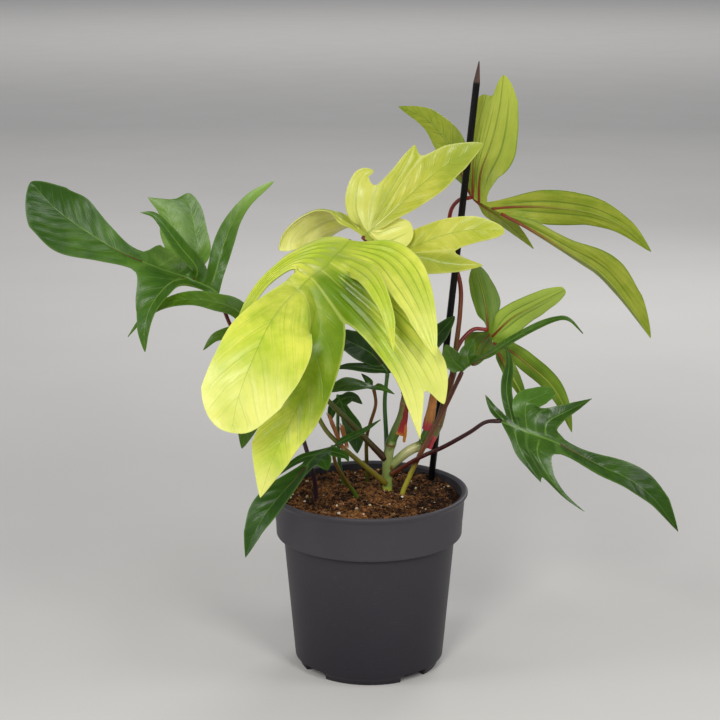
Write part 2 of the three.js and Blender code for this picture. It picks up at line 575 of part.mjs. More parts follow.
// ---------------------------------------------------------------- stems and petioles [x, y, z, radius]
const STEM = [[12, 16, 92, 4.2], [14, 15, 127, 4.6], [14, 14, 152, 5], [16, 12, 168, 4.8], [20, 10, 180, 4.2],
  [25, 9, 194, 3.4], [28, 9, 214, 2.6]];
const SHOOT = [[15, 14, 150, 4.2], [30, 15, 163, 4.8], [45, 17, 170, 4.4], [53, 19, 183, 3.6], [58, 21, 201, 3],
  [64, 23, 222, 2.6]];
const PETIOLES = {
  front: { path: [[13, 12, 138, 2.2], [-20, -2, 171, 2], [-36, -2, 190, 2], [-46, -3, 222, 1.9],
    [-38, -8, 272, 1.8], [-22, -15, 316, 1.7], [-14, -25, 333, 1.5]], color: 0x8a7a3c, cut: 1.4 },
  crown: { path: [[27, 9, 210, 2.4], [29, 6, 250, 1.9], [21, 6, 288, 1.7], [6, 4, 320, 1.6],
    [-5, -5, 332, 1.4]], color: 0x7a5a30, cut: 1.9 },
  top: { path: [[64, 23, 221, 2.4], [66, 25, 242, 2.1], [69, 30, 268, 2], [69, 34, 290, 1.9],
    [61, 37, 318, 1.8], [61, 39, 342, 1.7], [67, 36, 353, 1.6], [76, 31, 356, 1.5]], color: 0x8c2f22 },
  mid: { path: [[66, 25, 240, 1.6], [72, 28, 249, 1.6], [80, 31, 255, 1.5], [90, 30, 255, 1.4]],
    color: 0x8c2f22 },
  inner: { path: [[26, 8, 98, 1.8], [25, 9, 127, 1.9], [30, 8, 143, 1.9], [38, 5, 162, 1.9], [47, 5, 180, 1.8],
    [59, 8, 203, 1.7], [70, 12, 226, 1.5]], color: 0x6e3a22, cut: 0.7 },
  low_right: { path: [[17, 11, 146, 2], [37, -1, 162, 1.9], [56, -14, 175, 1.9], [74, -28, 190, 1.8],
    [85, -36, 200, 1.7], [96, -40, 202, 1.6]], color: 0x5c1f22 },
  left: { path: [[-38, 4, 96, 1.8], [-40, 3, 127, 1.9], [-44, 0, 155, 1.9], [-58, -4, 200, 1.8],
    [-82, -8, 237, 1.7], [-100, -11, 262, 1.6], [-111, -12, 290, 1.5]], color: 0x50232c, cut: 0.7 },
  low_left: { path: [[-6, 6, 98, 1.5], [-9, 5, 127, 1.6], [-18, -12, 148, 1.5], [-25, -34, 168, 1.4],
    [-27, -48, 185, 1.3]], color: 0x4f7a34 },
  shade_a: { path: [[14, 15, 156, 2], [13, 22, 176, 1.7], [12, 24, 200, 1.6], [14, 26, 222, 1.4]],
    color: 0x3f5c32 },
  shade_b: { path: [[1, 34, 98, 1.5], [-1, 35, 127, 1.6], [-2, 26, 168, 1.5], [1, 20, 184, 1.4],
    [5, 16, 200, 1.3], [3, 12, 215, 1.2]], color: 0x5e5230 },
  back: { path: [[12, 12, 158, 3], [-7, 6, 180, 2.8], [-24, -2, 200, 2.5], [-48, -14, 228, 2.2],
    [-74, -28, 256, 1.6]], color: 0x5c5a30 },
  hanging: { path: [[-18, 31, 98, 1.5], [-19, 30, 127, 1.6], [-23, 30, 150, 1.5], [-24, 30, 176, 1.4],
    [-24, 28, 204, 1.2]], color: 0x4f7434, cut: 1.9 },
};
const IN_SOIL = ['inner', 'left', 'low_left', 'shade_b', 'hanging'];
const ON = { front: 'stem', crown: 'stem', shade_a: 'stem', back: 'stem', low_right: 'stem', top: 'stem',
  mid: 'top' };

// ---------------------------------------------------------------- assembly
const group = new THREE.Group();
group.name = 'potted_philodendron';
function add(name, geometry, color, roughness, metalness = 0) {
  const mesh = new THREE.Mesh(geometry, new THREE.MeshStandardMaterial({ color, roughness, metalness }));
  mesh.name = name;
  mesh.geometry.computeVertexNormals();
  group.add(mesh);
  return mesh;
}

// pot: bead, collar, chamfer, tapered body, skirt with notches, centre disc that it stands on
const P = POT, iw = P.wall;
const potProfile = [
  [0, 0], [P.discR, 0], [P.discR + 1.5, P.channel], [P.footR - iw - 1, P.channel], [P.footR - iw - 0.4, 0],
  [P.footR, 0], [P.footR + 0.7, 3], [P.bodyLowR, P.bodyLowZ], [P.bodyTopR, P.bodyTopZ],
  [P.collarLowR - 1.8, P.bodyTopZ + 2.5], [P.collarLowR, P.collarLowZ - 3], [P.collarTopR, P.height - 4.5],
  [P.rimR, P.height - P.rimBead], [P.rimR - 0.4, P.height - 0.6], [P.rimR - 1.4, P.height],
  [P.collarTopR - iw, P.height - 1.2], [P.collarLowR - iw, P.collarLowZ], [P.bodyTopR - iw, P.bodyTopZ - 1],
  [P.bodyLowR - iw, P.bodyLowZ + 3], [P.bodyLowR - iw - 3, P.channel + P.floor], [0, P.channel + P.floor],
];
let pot = solid(lathe(potProfile, P.segments));
for (let i = 0; i < P.notches; i++) {
  const a = ((i + 0.43) * 2 * Math.PI) / P.notches;
  const notch = new THREE.BoxGeometry(16, P.notchWidth, 6.8);
  notch.translate(P.footR, 0, 0).rotateZ(a);
  pot = pot.subtract(solid(notch));
  const hole = new THREE.CylinderGeometry(P.holeR, P.holeR, 12, 10).rotateX(Math.PI / 2);
  hole.translate(P.footR - 9, 0, 5).rotateZ(a + Math.PI / P.notches);
  pot = pot.subtract(solid(hole));
}
add('pot', geometryOf(pot), 0x26262b, 0.5);

// stem with its side shoot, in one piece
const stemSolid = solid(rod(STEM, { steps: 14, sides: 10 })).add(solid(rod(SHOOT, { steps: 12, sides: 10 })));
const stemHalo = solid(rod(STEM, { steps: 14, sides: 10, grow: SEAM }))
  .add(solid(rod(SHOOT, { steps: 12, sides: 10, grow: SEAM })));
add('stem', geometryOf(stemSolid), 0x6f7a3e, 0.5);

// leaf blades, and a thicker shadow of each that trims its petiole
const halos = {};
for (const [name, spec] of Object.entries(LEAVES)) {
  add(`leaf_${name}`, parted(geometryOf(leafBlade(spec))), spec.color, 0.4);
  halos[name] = leafBlade(spec, { thick: BLADE.thick + 2 * SEAM });
}

for (const [name, spec] of Object.entries(SHEATHS)) {
  add(`sheath_${name}`, geometryOf(leafBlade(spec, { endRows: 6 })), spec.color, 0.7);
}

// petioles: each is trimmed where it meets its stem and its blade
const petioleRods = {};
for (const [name, { path, color, cut = 1.2 }] of Object.entries(PETIOLES)) {
  const steps = Math.max(8, Math.round(path.length * 2));
  // trimmed by the blade's shadow, and by the same shadow moved back along the petiole's end
  const back = V(path.at(-2)).sub(V(path.at(-1))).setLength(SEAM);
  let body = solid(rod(path, { steps, sides: 7, cut })).subtract(halos[name])
    .subtract(halos[name].translate(back.x, back.y, back.z));
  if (ON[name] === 'stem') body = body.subtract(stemHalo);
  else if (ON[name]) {
    const path = PETIOLES[ON[name]].path;
    body = body.subtract(solid(rod(path, { steps: 16, sides: 7, grow: SEAM })));
  }
  petioleRods[name] = { path, steps };
  add(`petiole_${name}`, geometryOf(biggest(body)), color, 0.45);
}

// stake: a straight stick with a sharpened top
const stakeAxis = V(STAKE.top).sub(V(STAKE.entry)).normalize();
const stakeFoot = V(STAKE.entry).addScaledVector(stakeAxis, -STAKE.buried);
function stake(grow) {
  const length = V(STAKE.top).distanceTo(stakeFoot);
  const shape = [[0, 0], [STAKE.r + grow, 0], [STAKE.r + grow, length - STAKE.point],
    [0.6 + grow, length - 0.5], [0, length]];
  const g = lathe(shape, 10);
  g.applyQuaternion(new THREE.Quaternion().setFromUnitVectors(new THREE.Vector3(0, 0, 1), stakeAxis));
  return g.translate(stakeFoot.x, stakeFoot.y, stakeFoot.z);
}
add('stake', geometryOf(solid(stake(0))), 0x191416, 0.5);

// peat: fills the pot with a low mound, with a plain hole for each stem
const g0 = SOIL.gap;
const soilProfile = [
  [0, P.channel + P.floor + g0], [P.bodyLowR - iw - 3 - g0, P.channel + P.floor + g0],
  [P.bodyLowR - iw - g0, P.bodyLowZ + 3.4], [P.bodyTopR - iw - g0, P.bodyTopZ - 0.6],
  [P.collarLowR - iw - g0, P.collarLowZ + 0.6], [P.collarTopR - iw - 1.2, SOIL.level - 1],
  [P.collarTopR - iw - 8, SOIL.level + 0.4], [48, SOIL.level - 0.4], [34, SOIL.level + 1.2],
  [20, SOIL.level + SOIL.mound * 0.7], [9, SOIL.level + SOIL.mound], [0, SOIL.level + SOIL.mound],
];
let soil = solid(lathe(soilProfile, SOIL.segments));
soil = soil.subtract(stemHalo).subtract(solid(stake(SEAM)));
for (const name of IN_SOIL) {
  const { path, steps } = petioleRods[name];
  soil = soil.subtract(solid(rod(path, { steps, sides: 7, grow: SEAM })));
}
add('soil', geometryOf(biggest(soil)), 0x4a3120, 0.95);

export default group;
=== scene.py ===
"""Looks of the potted philodendron: leaf blades, petioles, stem, sheaths, stick, pot and peat with
their materials, a pale floor, soft studio light and the camera. Lengths are in millimetres until a
mesh is made. Leaves, paths and pot follow the names and values of the part's source."""
import math
from types import SimpleNamespace
import bpy
import numpy as np
from mathutils import Euler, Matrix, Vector


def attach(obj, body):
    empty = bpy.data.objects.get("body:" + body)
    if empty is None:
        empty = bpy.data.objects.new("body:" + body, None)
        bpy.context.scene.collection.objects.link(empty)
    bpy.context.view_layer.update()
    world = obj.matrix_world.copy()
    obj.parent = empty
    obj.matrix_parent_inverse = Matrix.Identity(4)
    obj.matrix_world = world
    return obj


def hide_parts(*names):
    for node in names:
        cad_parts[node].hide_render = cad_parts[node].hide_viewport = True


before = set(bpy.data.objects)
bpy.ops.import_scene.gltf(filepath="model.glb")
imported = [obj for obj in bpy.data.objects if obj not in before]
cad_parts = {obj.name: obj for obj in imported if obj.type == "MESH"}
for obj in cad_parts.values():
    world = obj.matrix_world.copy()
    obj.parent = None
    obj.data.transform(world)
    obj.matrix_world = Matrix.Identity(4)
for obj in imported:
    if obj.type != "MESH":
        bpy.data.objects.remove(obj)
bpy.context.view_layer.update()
scene = bpy.context.scene
MM, TURN = 0.001, 2 * math.pi
ROWS, END_ROWS = 8, 10     # rows of a lobe and of a leaf's end lobe in the plain model
FINE, COLS = 6, 6          # rows and columns here for each one of the plain model
BLADE, PAPER = 0.6, 0.4    # thickness of a leaf and of a dry sheath
TURNED = [0, 3, 2, 1]      # corners of a quad, the other way round

POT = SimpleNamespace(
    height=138, rimR=75, collarTopR=72.6, collarLowR=70.8, collarLowZ=110, bodyTopR=65.2, bodyTopZ=101,
    bodyLowR=57, bodyLowZ=7, footR=53, wall=1.6, floor=2.4, discR=36, channel=3.6, notches=4, notchWidth=23,
    holeR=4)
SOIL_LEVEL = 125.5
STICK = SimpleNamespace(entry=np.array([48.0, 38, 127]), top=np.array([80.0, 20, 458]), buried=22, r=2.55,
                        tip=0.4, point=16)


def rows(text):
    """Rows of numbers from a text such as "1 2 3, 4 5 6"."""
    return [[float(x) for x in row.split()] for row in text.split(",")]


def lobe(rib, widths, face, span=2, web=0.12, tone="0", **more):
    """A lobe of a leaf: the points of its rib, its half widths from foot to tip (one row, or one for each side),
    the way it faces, the columns of the palm that it takes, the share of it that is webbed to the next lobe, and
    the painted light and shade on it from foot to tip (-1 to 1), mostly painted light and shade and partly the
    lobe's own lighter and darker green."""
    w = rows(widths)
    return dict(more, rib=rows(rib), w=np.array([w[0], w[-1]]), face=rows(face)[0], span=span, web=web,
                tone=rows(tone)[0])


LEAVES = {
    # the big lime leaf that hangs over the front of the pot
    "front": dict(at=(-14, -25, 333), face=(-1, -6, 8), palm=0.4,
      end=lobe("-14 -35 -9, -32 -67 -19, -52 -91 -37, -66 -109 -64, -75 -119 -88, -79 -125 -109",
        "9 31 41 40 33, 5 13 23 25 26", "-3 -9 2", tone="-0.5 -0.4 0.1 0.6 0.7", tip=0.4, cup=0.14, cols=8),
      left=[
        lobe("23 -25 -6, 38 -43 -16, 49 -61 -33, 55 -73 -50, 59 -79 -68", "9 13 16 12 7, 9 12 19 19 14", "5 -8 2",
          4, tone="-0.3 0 0.2 0.4 0.6", pleats=5),
        lobe("8 -49 -11, 19 -71 -18, 27 -87 -36, 30 -93 -62", "6 6 6 4 3, 7 12 12 9 5", "3 -8 3",
          tone="-0.5 -0.1 0.1 0.3", pleats=3, tip=1),
        lobe("13 -53 -35, 33 -59 -53, 56 -61 -79, 66 -61 -106", "7 12 17 16 11, 7 9 9 10 10", "3 -9 2", 2, 0.7,
          tone="-0.7 -0.9 0 0.5 0.8", pleats=4, tip=0.7),
        lobe("1 -61 -34, 19 -69 -54, 38 -75 -87, 49 -75 -128", "7 9 11 12 9, 7 8 8 6 4", "1 -9 3", 2, 0.28,
          tone="-0.9 -1 0.1 0.7 1", pleats=3, tip=1, first=0.1),
        lobe("-21 -73 -44, -21 -85 -61, -31 -93 -91, -49 -96 -129, -62 -95 -164", "7 15 19 19 12, 7 14 18 20 20",
          "-4 -8 3", 2, 0.25, tone="-0.6 -0.8 -0.9 0 0.9", tip=0.9, first=0.08)],
      right=[
        lobe("-28 -25 -6, -51 -50 -14, -66 -67 -28, -77 -75 -48, -84 -77 -70", "12 10 7 6 4, 12 10 7 6 5",
          "-8 -4 3", 12, tone="-0.2 0 0.1 0.2", pleats=7)]),
    # the pale leaf above it
    "crown": dict(at=(-5, -5, 332), face=(-2, -6, 6), palm=0.07,
      end=lobe("13 -3 12, 29 -5 27, 50 -7 46, 70 -8 60, 87 -9 70", "6 12 17 16 13, 6 9 14 16 11", "-3 -8 4",
        tone="0.2 0.1 -0.1 -0.4 -0.5", cols=8),
      left=[
        lobe("-13 19 14, -31 21 18, -46 17 12, -58 11 1, -62 7 -11", "5 9 9 7 4, 6 18 32 34 26", "-6 5 5", 4,
          pleats=4, tip=0.6, cup=(-0.2, -0.8), start=(-2, -2, 8)),
        lobe("-5 5 16, -6 9 32, -1 13 44, 8 15 47", "6 7 7 6 5, 6 9 10 9 6", "0 -9 2", 2, 0.5, tone="0.5 0.5 0.2",
          pleats=2, tip=0.6),
        lobe("17 1 26, 26 3 43, 33 5 58, 38 7 67", "6 9 9 7 4, 6 8 8 7 5", "-2 -9 3", 2, 0.75,
          tone="0.4 0.1 -0.2", pleats=2, tip=0.7)],
      right=[
        lobe("21 -7 -9, 42 -11 -13, 65 -17 -17, 87 -21 -17", "7 15 16 12 6, 7 9 8 5 4", "0 -8 5", 3, 0.6,
          tone="-0.8 -0.5 -0.4 -0.3"),
        lobe("18 -3 -13, 38 -6 -7, 59 -13 4, 79 -19 9, 102 -23 8", "7 10 13 13 10, 5 8 13 12 10", "0 -8 5",
          tone="-0.6 0.2 0.2 0", tip=0.45),
        lobe("13 -4 1, 24 -5 5, 36 -4 9", "7 14 17 14, 6 9 11 9", "0 -9 4", 3, tone="0.8 0.8 0.6", pleats=3,
          tip=0.4)]),
    # the leaf at the top right, seen from below
    "top": dict(at=(76, 31, 356), face=(2, 9, 3), palm=0.15, crowd=2.8,
      end=lobe("20 -3 -10, 38 -6 -19, 56 -9 -29, 75 -13 -40, 97 -19 -54, 118 -25 -78, 134 -29 -101",
        "3 5 9 11 8, 3 6 9 17 13", "5 8 1", tone="-0.4 -0.2 0 -0.2", pleats=3, cup=(1.4, 0.1), cols=6),
      left=[
        lobe("22 11 -16, 37 23 -30, 51 31 -44", "3 7 8 5", "4 5 6")],
      right=[
        lobe("-8 9 20, -17 15 40, -32 19 57, -54 21 66", "5 9 12 8", "3 8 1", tone="-0.3 -0.2"),
        lobe("2 3 24, 5 5 50, 11 7 76", "3 4 6 7 8", "0 9 -1", 2, 0.85, tone="0 0.2", pleats=4, tip=0.3),
        lobe("4 1 18, 11 2 38, 18 2 62, 23 2 91", "3 4 6 8 8, 5 16 23 20 15", "-1 9 0", 2, 0.05, tone="0.2 0.7",
          pleats=4, tip=0.6, first=0.03, flare=0.14),
        lobe("33 -5 -5, 66 -11 -6, 91 -17 -9, 113 -21 -19, 133 -23 -37", "4 11 14 12 7", "2 8 4", 2, 0.3,
          pleats=3, first=0.03)]),
    # the leaf below it on the same shoot, also seen from below
    "mid": dict(at=(90, 30, 255), face=(2, 8, 4), palm=0.2,
      end=lobe("8 -2 -16, 16 -6 -30, 25 -10 -45, 31 -14 -60", "3 5 6 5 3", "3 8 3", tone="-0.6 -0.6", cols=4),
      left=[
        lobe("-4 14 -14, -7 20 -25, -9 23 -34", "4 10 12 9", "0 8 4", 4, tone="-0.6 -0.5", pleats=3, tip=0.5)],
      right=[
        lobe("-1 3 12, -4 7 28, -9 11 48", "2 6 8 9 8, 2 7 12 11 8", "-1 9 1", 2, 0.1, tone="-0.6 -0.5", pleats=2,
          tip=0.5),
        lobe("16 -6 10, 32 -12 21, 48 -16 30, 56 -18 35", "3 9 10 10 9, 3 11 14 14 11", "-2 8 5", tone="0.6 0.9",
          pleats=3, tip=0.4),
        lobe("17 -6 -15, 32 -12 -26, 47 -17 -38, 57 -20 -54, 64 -22 -75", "3 7 9 8 5", "4 8 3", 2, 0.2,
          tone="-0.4 -0.4", pleats=2)]),
    # narrow dark leaf inside the shoot
    "inner": dict(at=(70, 12, 226), face=(0, -7, 7), palm=0.1,
      end=lobe("9 -6 9, 21 -10 17, 33 -12 26, 53 -14 38, 68 -14 44, 78 -14 44, 89 -14 33", "2 3 3 3 2", "2 -5 8",
        cols=4),
      left=[
        lobe("-6 -4 9, -13 -8 23", "4 7 7 5", "-2 -9 2", tip=0.6),
        lobe("4 2 13, 9 4 25", "3 6 6 4", "-1 -9 2", tip=0.6)]),
    # dark glossy leaf at the lower right
    "low_right": dict(at=(96, -40, 202), face=(1, -6, 8), palm=0.27,
      end=lobe("19 -5 -7, 37 -10 -12, 55 -16 -20, 73 -21 -29, 92 -25 -37, 110 -27 -52, 128 -26 -76",
        "3 3 10 13 10, 4 5 8 8 4", "3 -7 5", tone="0.1 0.2 0 0", tip=0.9, cols=6),
      left=[
        lobe("-5 6 7, -11 10 17", "2 3 3 2", "-3 -8 2", 1, tone="0 0.2"),
        lobe("4 4 21, 6 7 43, 2 8 58", "2 3.5 4 4 2", "-4 -8 1", 1, tone="0 0.3", tip=0.9),
        lobe("17 -2 13, 28 2 18, 39 6 21", "4 8 9 8", "0 -6 7", 2, 0.35, tone="0.4 0.6", tip=0.35),
        lobe("31 -7 0, 44 -4 6, 66 0 17", "4 8 7 4, 3 5 5 3", "1 -6 7", tone="0.2 0.2", tip=1)],
      right=[
        lobe("12 -12 -16, 20 -18 -29, 28 -22 -40", "3 4 4 2, 4 6 5 3", "1 -7 6", 3, 0.6, tone="0.2 0.3", tip=1),
        lobe("24 -18 -18, 33 -26 -34, 45 -30 -49, 59 -32 -59", "4 6 4 3 2, 5 7 5 3 2", "2 -7 5", 3,
          tone="0.3 0.3", tip=1)]),
    # dark leaf reaching out to the left
    "left": dict(at=(-111, -12, 290), face=(0, -7, 7), palm=0.37,
      end=lobe("-18 -8 12, -40 -17 22, -57 -23 31, -74 -28 41, -93 -33 55, -111 -37 70, -127 -40 89",
        "5 6 17 27 23, 4 5 13 20 16", "-2 -7 6", tone="0 -0.2 -0.8 -0.8", tip=0.65, cols=8),
      left=[
        lobe("-32 -30 15, -44 -42 2, -49 -48 -14, -49 -50 -31", "6 8 8 7 5, 8 12 12 10 6", "-5 -7 1", 8, 0.3,
          tone="-0.4 -0.6 -0.1", start=(-2, -6, 8))],
      right=[
        lobe("-1 10 20, 4 16 37, 11 22 53, 23 27 68, 40 30 80", "4 7 8 6 4", "-4 -7 1", 2, 0.1,
          tone="-0.4 0.3 0.8", tip=0.6),
        lobe("-13 -15 22, -24 -24 39, -33 -28 53, -42 -30 64, -52 -30 66", "4 6 6 5 3", "3 -8 3", 2, 0.1,
          tone="-0.4 -0.2 0.2"),
        lobe("-15 4 28, -17 10 45, -20 15 62, -23 18 73", "4 7 9 9 8, 4 7 9 9 7", "1 -9 2", 2, 0.85,
          tone="0.3 0.3 0.1", tip=0.45),
        lobe("-27 2 31, -33 8 45, -38 14 60, -52 17 70", "4 8 9 9 8, 8 13 11 9 6", "1 -9 2", tone="0.4 0.5 0.4",
          tip=0.9)]),
    # dark leaf over the pot's rim at the lower left
    "low_left": dict(at=(-27, -48, 185), face=(-2, -6, 7), palm=0.22,
      end=lobe("-11 -8 -4, -24 -18 -16, -40 -28 -32, -53 -36 -49, -62 -40 -71", "4 6 8 8 5, 4 8 13 13 8",
        "-4 -8 3", tip=0.9, cols=6),
      left=[
        lobe("8 2 4, 22 5 10, 35 8 18", "2 3 3 2", "-3 -4 8", 1),
        lobe("8 -8 -4, 12 -12 -8", "2 4 3", "1 -8 5", 1, 0.2),
        lobe("-7 -20 -4, -3 -26 -10", "4 7 6", "0 -8 5", 2, 0.2, tip=0.6)],
      right=[
        lobe("-21 -8 -6, -31 -12 -11, -38 -14 -17", "2 3 3 2", "-3 -7 5", 4)]),
    # small dark leaves between the stems, under the front leaf
    "shade_a": dict(at=(14, 26, 221.2), face=(0, -7, 7), palm=0.12,
      end=lobe("-12 -6 17, -29 -12 28, -44 -18 36", "5 10 11 8", "-1 -8 4", cols=4),
      left=[
        lobe("-13 -12 7, -29 -18 10, -40 -24 10", "2 4 4 3", "0 -6 7")],
      right=[
        lobe("18 -6 13, 35 -11 30, 50 -14 48", "2 5 8 7", "0 -8 4", tip=0.6)]),
    "shade_b": dict(at=(3, 12, 215), face=(0, -7, 7), palm=0.12,
      end=lobe("-13 -6 3, -24 -10 3, -36 -14 -1", "3 5 6 4", "0 -7 6", cols=4),
      left=[
        lobe("6 -8 1, 16 -12 -3", "2 3 2", "0 -6 7")],
      right=[
        lobe("-4 6 3, -9 8 8", "2 3 2", "0 -7 6")]),
    # dark leaf behind the front leaf
    "back": dict(at=(-74, -28, 256), face=(-1, -6, 6), palm=0.2,
      end=lobe("-4 -20 -17, -11 -32 -40, -18 -36 -68", "4 9 11 8", "-3 -8 2", cols=4),
      left=[
        lobe("13 -16 -17, 18 -22 -32", "3 7 6", "0 -8 4", 4, 0.2)],
      right=[
        lobe("-20 -6 27, -38 -8 34, -55 -11 37, -73 -16 34, -88 -21 25, -99 -25 12", "3 6 7 6 3", "-3 -6 6"),
        lobe("-19 -16 11, -35 -24 12, -45 -28 3", "3 6 6 4", "-3 -7 4", 2, 0.15)]),
    "hanging": dict(at=(-24, 28, 204), face=(1, -8, 3), palm=0.15,
      end=lobe("6 -6 -13, 13 -11 -28, 15 -13 -43", "3 5 7 6", "1 -9 1", cols=4),
      left=[
        lobe("11 2 -2, 19 3 -8", "2 4 3", "0 -8 3")],
      right=[
        lobe("-4 -4 -10, -6 -6 -20", "2 4 3", "0 -8 3")]),
}
# each petiole: points with radii, colours from its foot to the blade, and how thin it is drawn
PETIOLES = {
    "front": (
        "13 12 138 2.2, -20 -2 171 2, -36 -2 190 2, -46 -3 222 1.9, -38 -8 272 1.8, -22 -15 316 1.7, "
        "-14 -25 333 1.5",
        "0 #7a6a1c, 0.3 #7a7c2e, 0.6 #6a5a24, 1 #7d7a35", 0.88),
    "crown": (
        "27 9 210 2.4, 29 6 250 1.9, 21 6 288 1.7, 6 4 320 1.6, -5 -5 332 1.4",
        "0 #5c3a1c, 0.4 #63351a, 1 #6e2a1a", 1),
    "top": (
        "64 23 221 2.4, 66 25 242 2.1, 69 30 268 2, 69 34 290 1.9, 61 37 318 1.8, 61 39 342 1.7, "
        "67 36 353 1.6, 76 31 356 1.5",
        "0 #6f5a2c, 0.25 #6a3a1c, 0.6 #7a1c14, 1 #8a1a14", 0.9),
    "mid": (
        "66 25 240 1.6, 72 28 249 1.6, 80 31 255 1.5, 90 30 255 1.4",
        "0 #6a2a1a, 0.5 #7a1a14, 1 #8a2018", 1),
    "inner": (
        "26 8 98 1.8, 25 9 127 1.9, 30 8 143 1.9, 38 5 162 1.9, 47 5 180 1.8, 59 8 203 1.7, "
        "70 12 226 1.5",
        "0 #a8a82e, 0.38 #a8a038, 0.47 #6a3a18, 1 #4f2414", 1),
    "low_right": (
        "17 11 146 2, 37 -1 162 1.9, 56 -14 175 1.9, 74 -28 190 1.8, 85 -36 200 1.7, 96 -40 202 1.6",
        "0 #6a3a20, 0.14 #52180f, 0.4 #3a0c10, 1 #2f0a0e", 0.86),
    "left": (
        "-38 4 96 1.8, -40 3 127 1.9, -44 0 155 1.9, -58 -4 200 1.8, -82 -8 237 1.7, -100 -11 262 1.6, "
        "-111 -12 290 1.5",
        "0 #33222a, 0.3 #33202a, 0.6 #4a181c, 1 #6a1c1c", 0.9),
    "low_left": (
        "-6 6 98 1.5, -9 5 127 1.6, -18 -12 148 1.5, -25 -34 168 1.4, -27 -48 185 1.3",
        "0 #3f7a20, 0.3 #4f7a24, 0.55 #6a5a20, 1 #6a4a2a", 1),
    "shade_a": (
        "14 15 156 2, 13 22 176 1.7, 12 24 200 1.6, 14 26 222 1.4",
        "0 #2f4f1c, 0.5 #2f5820, 1 #3f6428", 1),
    "shade_b": (
        "1 34 98 1.5, -1 35 127 1.6, -2 26 168 1.5, 1 20 184 1.4, 5 16 200 1.3, 3 12 215 1.2",
        "0 #3a4a1c, 0.4 #5a5a20, 1 #7a4a1c", 1),
    "back": (
        "12 12 158 3, -7 6 180 2.8, -24 -2 200 2.5, -48 -14 228 2.2, -74 -28 256 1.6",
        "0 #3a1c14, 0.12 #4a3a1c, 0.35 #5f6428, 1 #6f7a34", 0.8),
    "hanging": (
        "-18 31 98 1.5, -19 30 127 1.6, -23 30 150 1.5, -24 30 176 1.4, -24 28 204 1.2",
        "0 #2f6a1c, 0.5 #3a6420, 1 #4f7a34", 1),
}
# points of the stem, of the shoot that forks from it and of a spur on the shoot, with radii
STEM = ("12 16 92 3.36, 14 15 127 3.68, 14 14 152 4, 16 12 168 3.936, 20 10 180 3.78, 25 9 194 3.23,"
        "28 9 214 2.6")
SHOOT = "15 14 150 3.36, 30 15 163 3.84, 45 17 170 3.696, 53 19 183 3.24, 58 21 201 2.85, 64 23 222 2.6"
SPUR = "40 16 168 3.06, 43 15 174 3.9, 45.5 14.4 181 3.8, 47 14 188 3.2"
STEM_COLOURS = (
    "0 #84922c, 0.145 #a8b03c, 0.17 #7c9446, 0.3 #a0ab6c, 0.32 #4c6c24, 0.38 #566a28, 0.49 #6a4426,"
    "0.51 #8c9a54, 0.64 #c4c088, 0.67 #6c7c34, 0.8 #6a5426, 0.99 #6a3018")

# each dry sheath: torn strips (points with radii, first and last angle, raggedness, share of the
# colours that it shows) and the colours from foot to tip
HUSKS = {
    "red": ([("23 9.4 178.5 4.4, 25 9 184 3.9, 26.8 8.6 193 3, 27.6 8.6 204 2.7", -115, 60, 0.1, 1),
             ("26.5 7.6 172.5 1.2, 27 7.2 178 1.6, 27.4 6.8 184 1.7, 28 6.6 189 1.2", -60, 60, 0.4, 0.06)],
            "0 #c98a35, 0.06 #b8682c, 0.12 #a81a20, 0.5 #85180f, 1 #6a1a10"),
    "tan": ([("44.4 14.6 180.5 4.3, 45.8 14.4 188 4.1, 47.6 14 198 3.4, 49.6 13.6 212 2.7", -120, 95, 0.06, 1),
             ("45 14 166 3.6, 47 14.6 172 4.3, 50 15.6 178 4.2", -60, 50, 0.4, 0.2)],
            "0 #b83442, 0.16 #bc4a48, 0.26 #b87a3c, 0.6 #d08c46, 1 #a86030"),
    "dry": ([("-18.5 -3.4 172 2.8, -22.5 -2.6 182 3.8, -26 -2 191 4, -30 -1.6 200 3", -75, -4, 0.25, 1),
             ("-17.5 -3.6 171 2.8, -20.5 -2.8 181 4, -23.5 -2.4 192 4.4", -2, 56, 0.35, 1),
             ("-19 -5 170 1.2, -23 -5.6 180 1.5, -27 -5.6 191 1.4", -50, 40, 0.3, 1)],
            "0 #d8b88c, 0.12 #b4642e, 0.6 #b06a38, 1 #c89058"),
}


def tints(codes, **more):
    """The colours that every leaf look has, and what else this one sets."""
    # high is a painted light colour and low a painted shade colour; the lobes' painted light and shade lays them
    # over the green
    names = "light dark rich vein mid edge high low under_light under_dark"
    return dict(zip(names.split(), codes.split()), **more)


LIME = tints("#e6e85c #c0d23c #92b51c #a3bd34 #74971c #dfe67c #f0f084 #688a0c #b9c65e #9fb043",
             glow=0.12, mid_amount=0.4, vein_amount=0.1)
PALE = tints("#cbcb50 #b0b834 #9aac28 #a2b23e #8aa62e #dfe08a #e6e67c #84983a #f0ee94 #d8da68",
             under_line="#9aa040", rough=0.28, glow=0.15, vein_amount=0.15)
MIDDLE = tints("#88a02a #68881c #547618 #93a84c #4a6a1c #a9b84e #b6c24a #4a7412 #9ea636 #7a8e1a",
               under_line="#4f6e14", rough=0.33, under_vein=0.6, spec=0.3, rib_base="#7a2c16",
               rib_tip="#8a9a34")
DARK = tints("#3e6416 #274a0c #203e08 #52772a #678a3e #64883a #5f8c2a #183206 #5c7636 #486428",
             spec=0.3, vein_amount=0.2, mid_amount=0.5, rib_base="#5a2a1c", rib_tip="#6d8a3a")
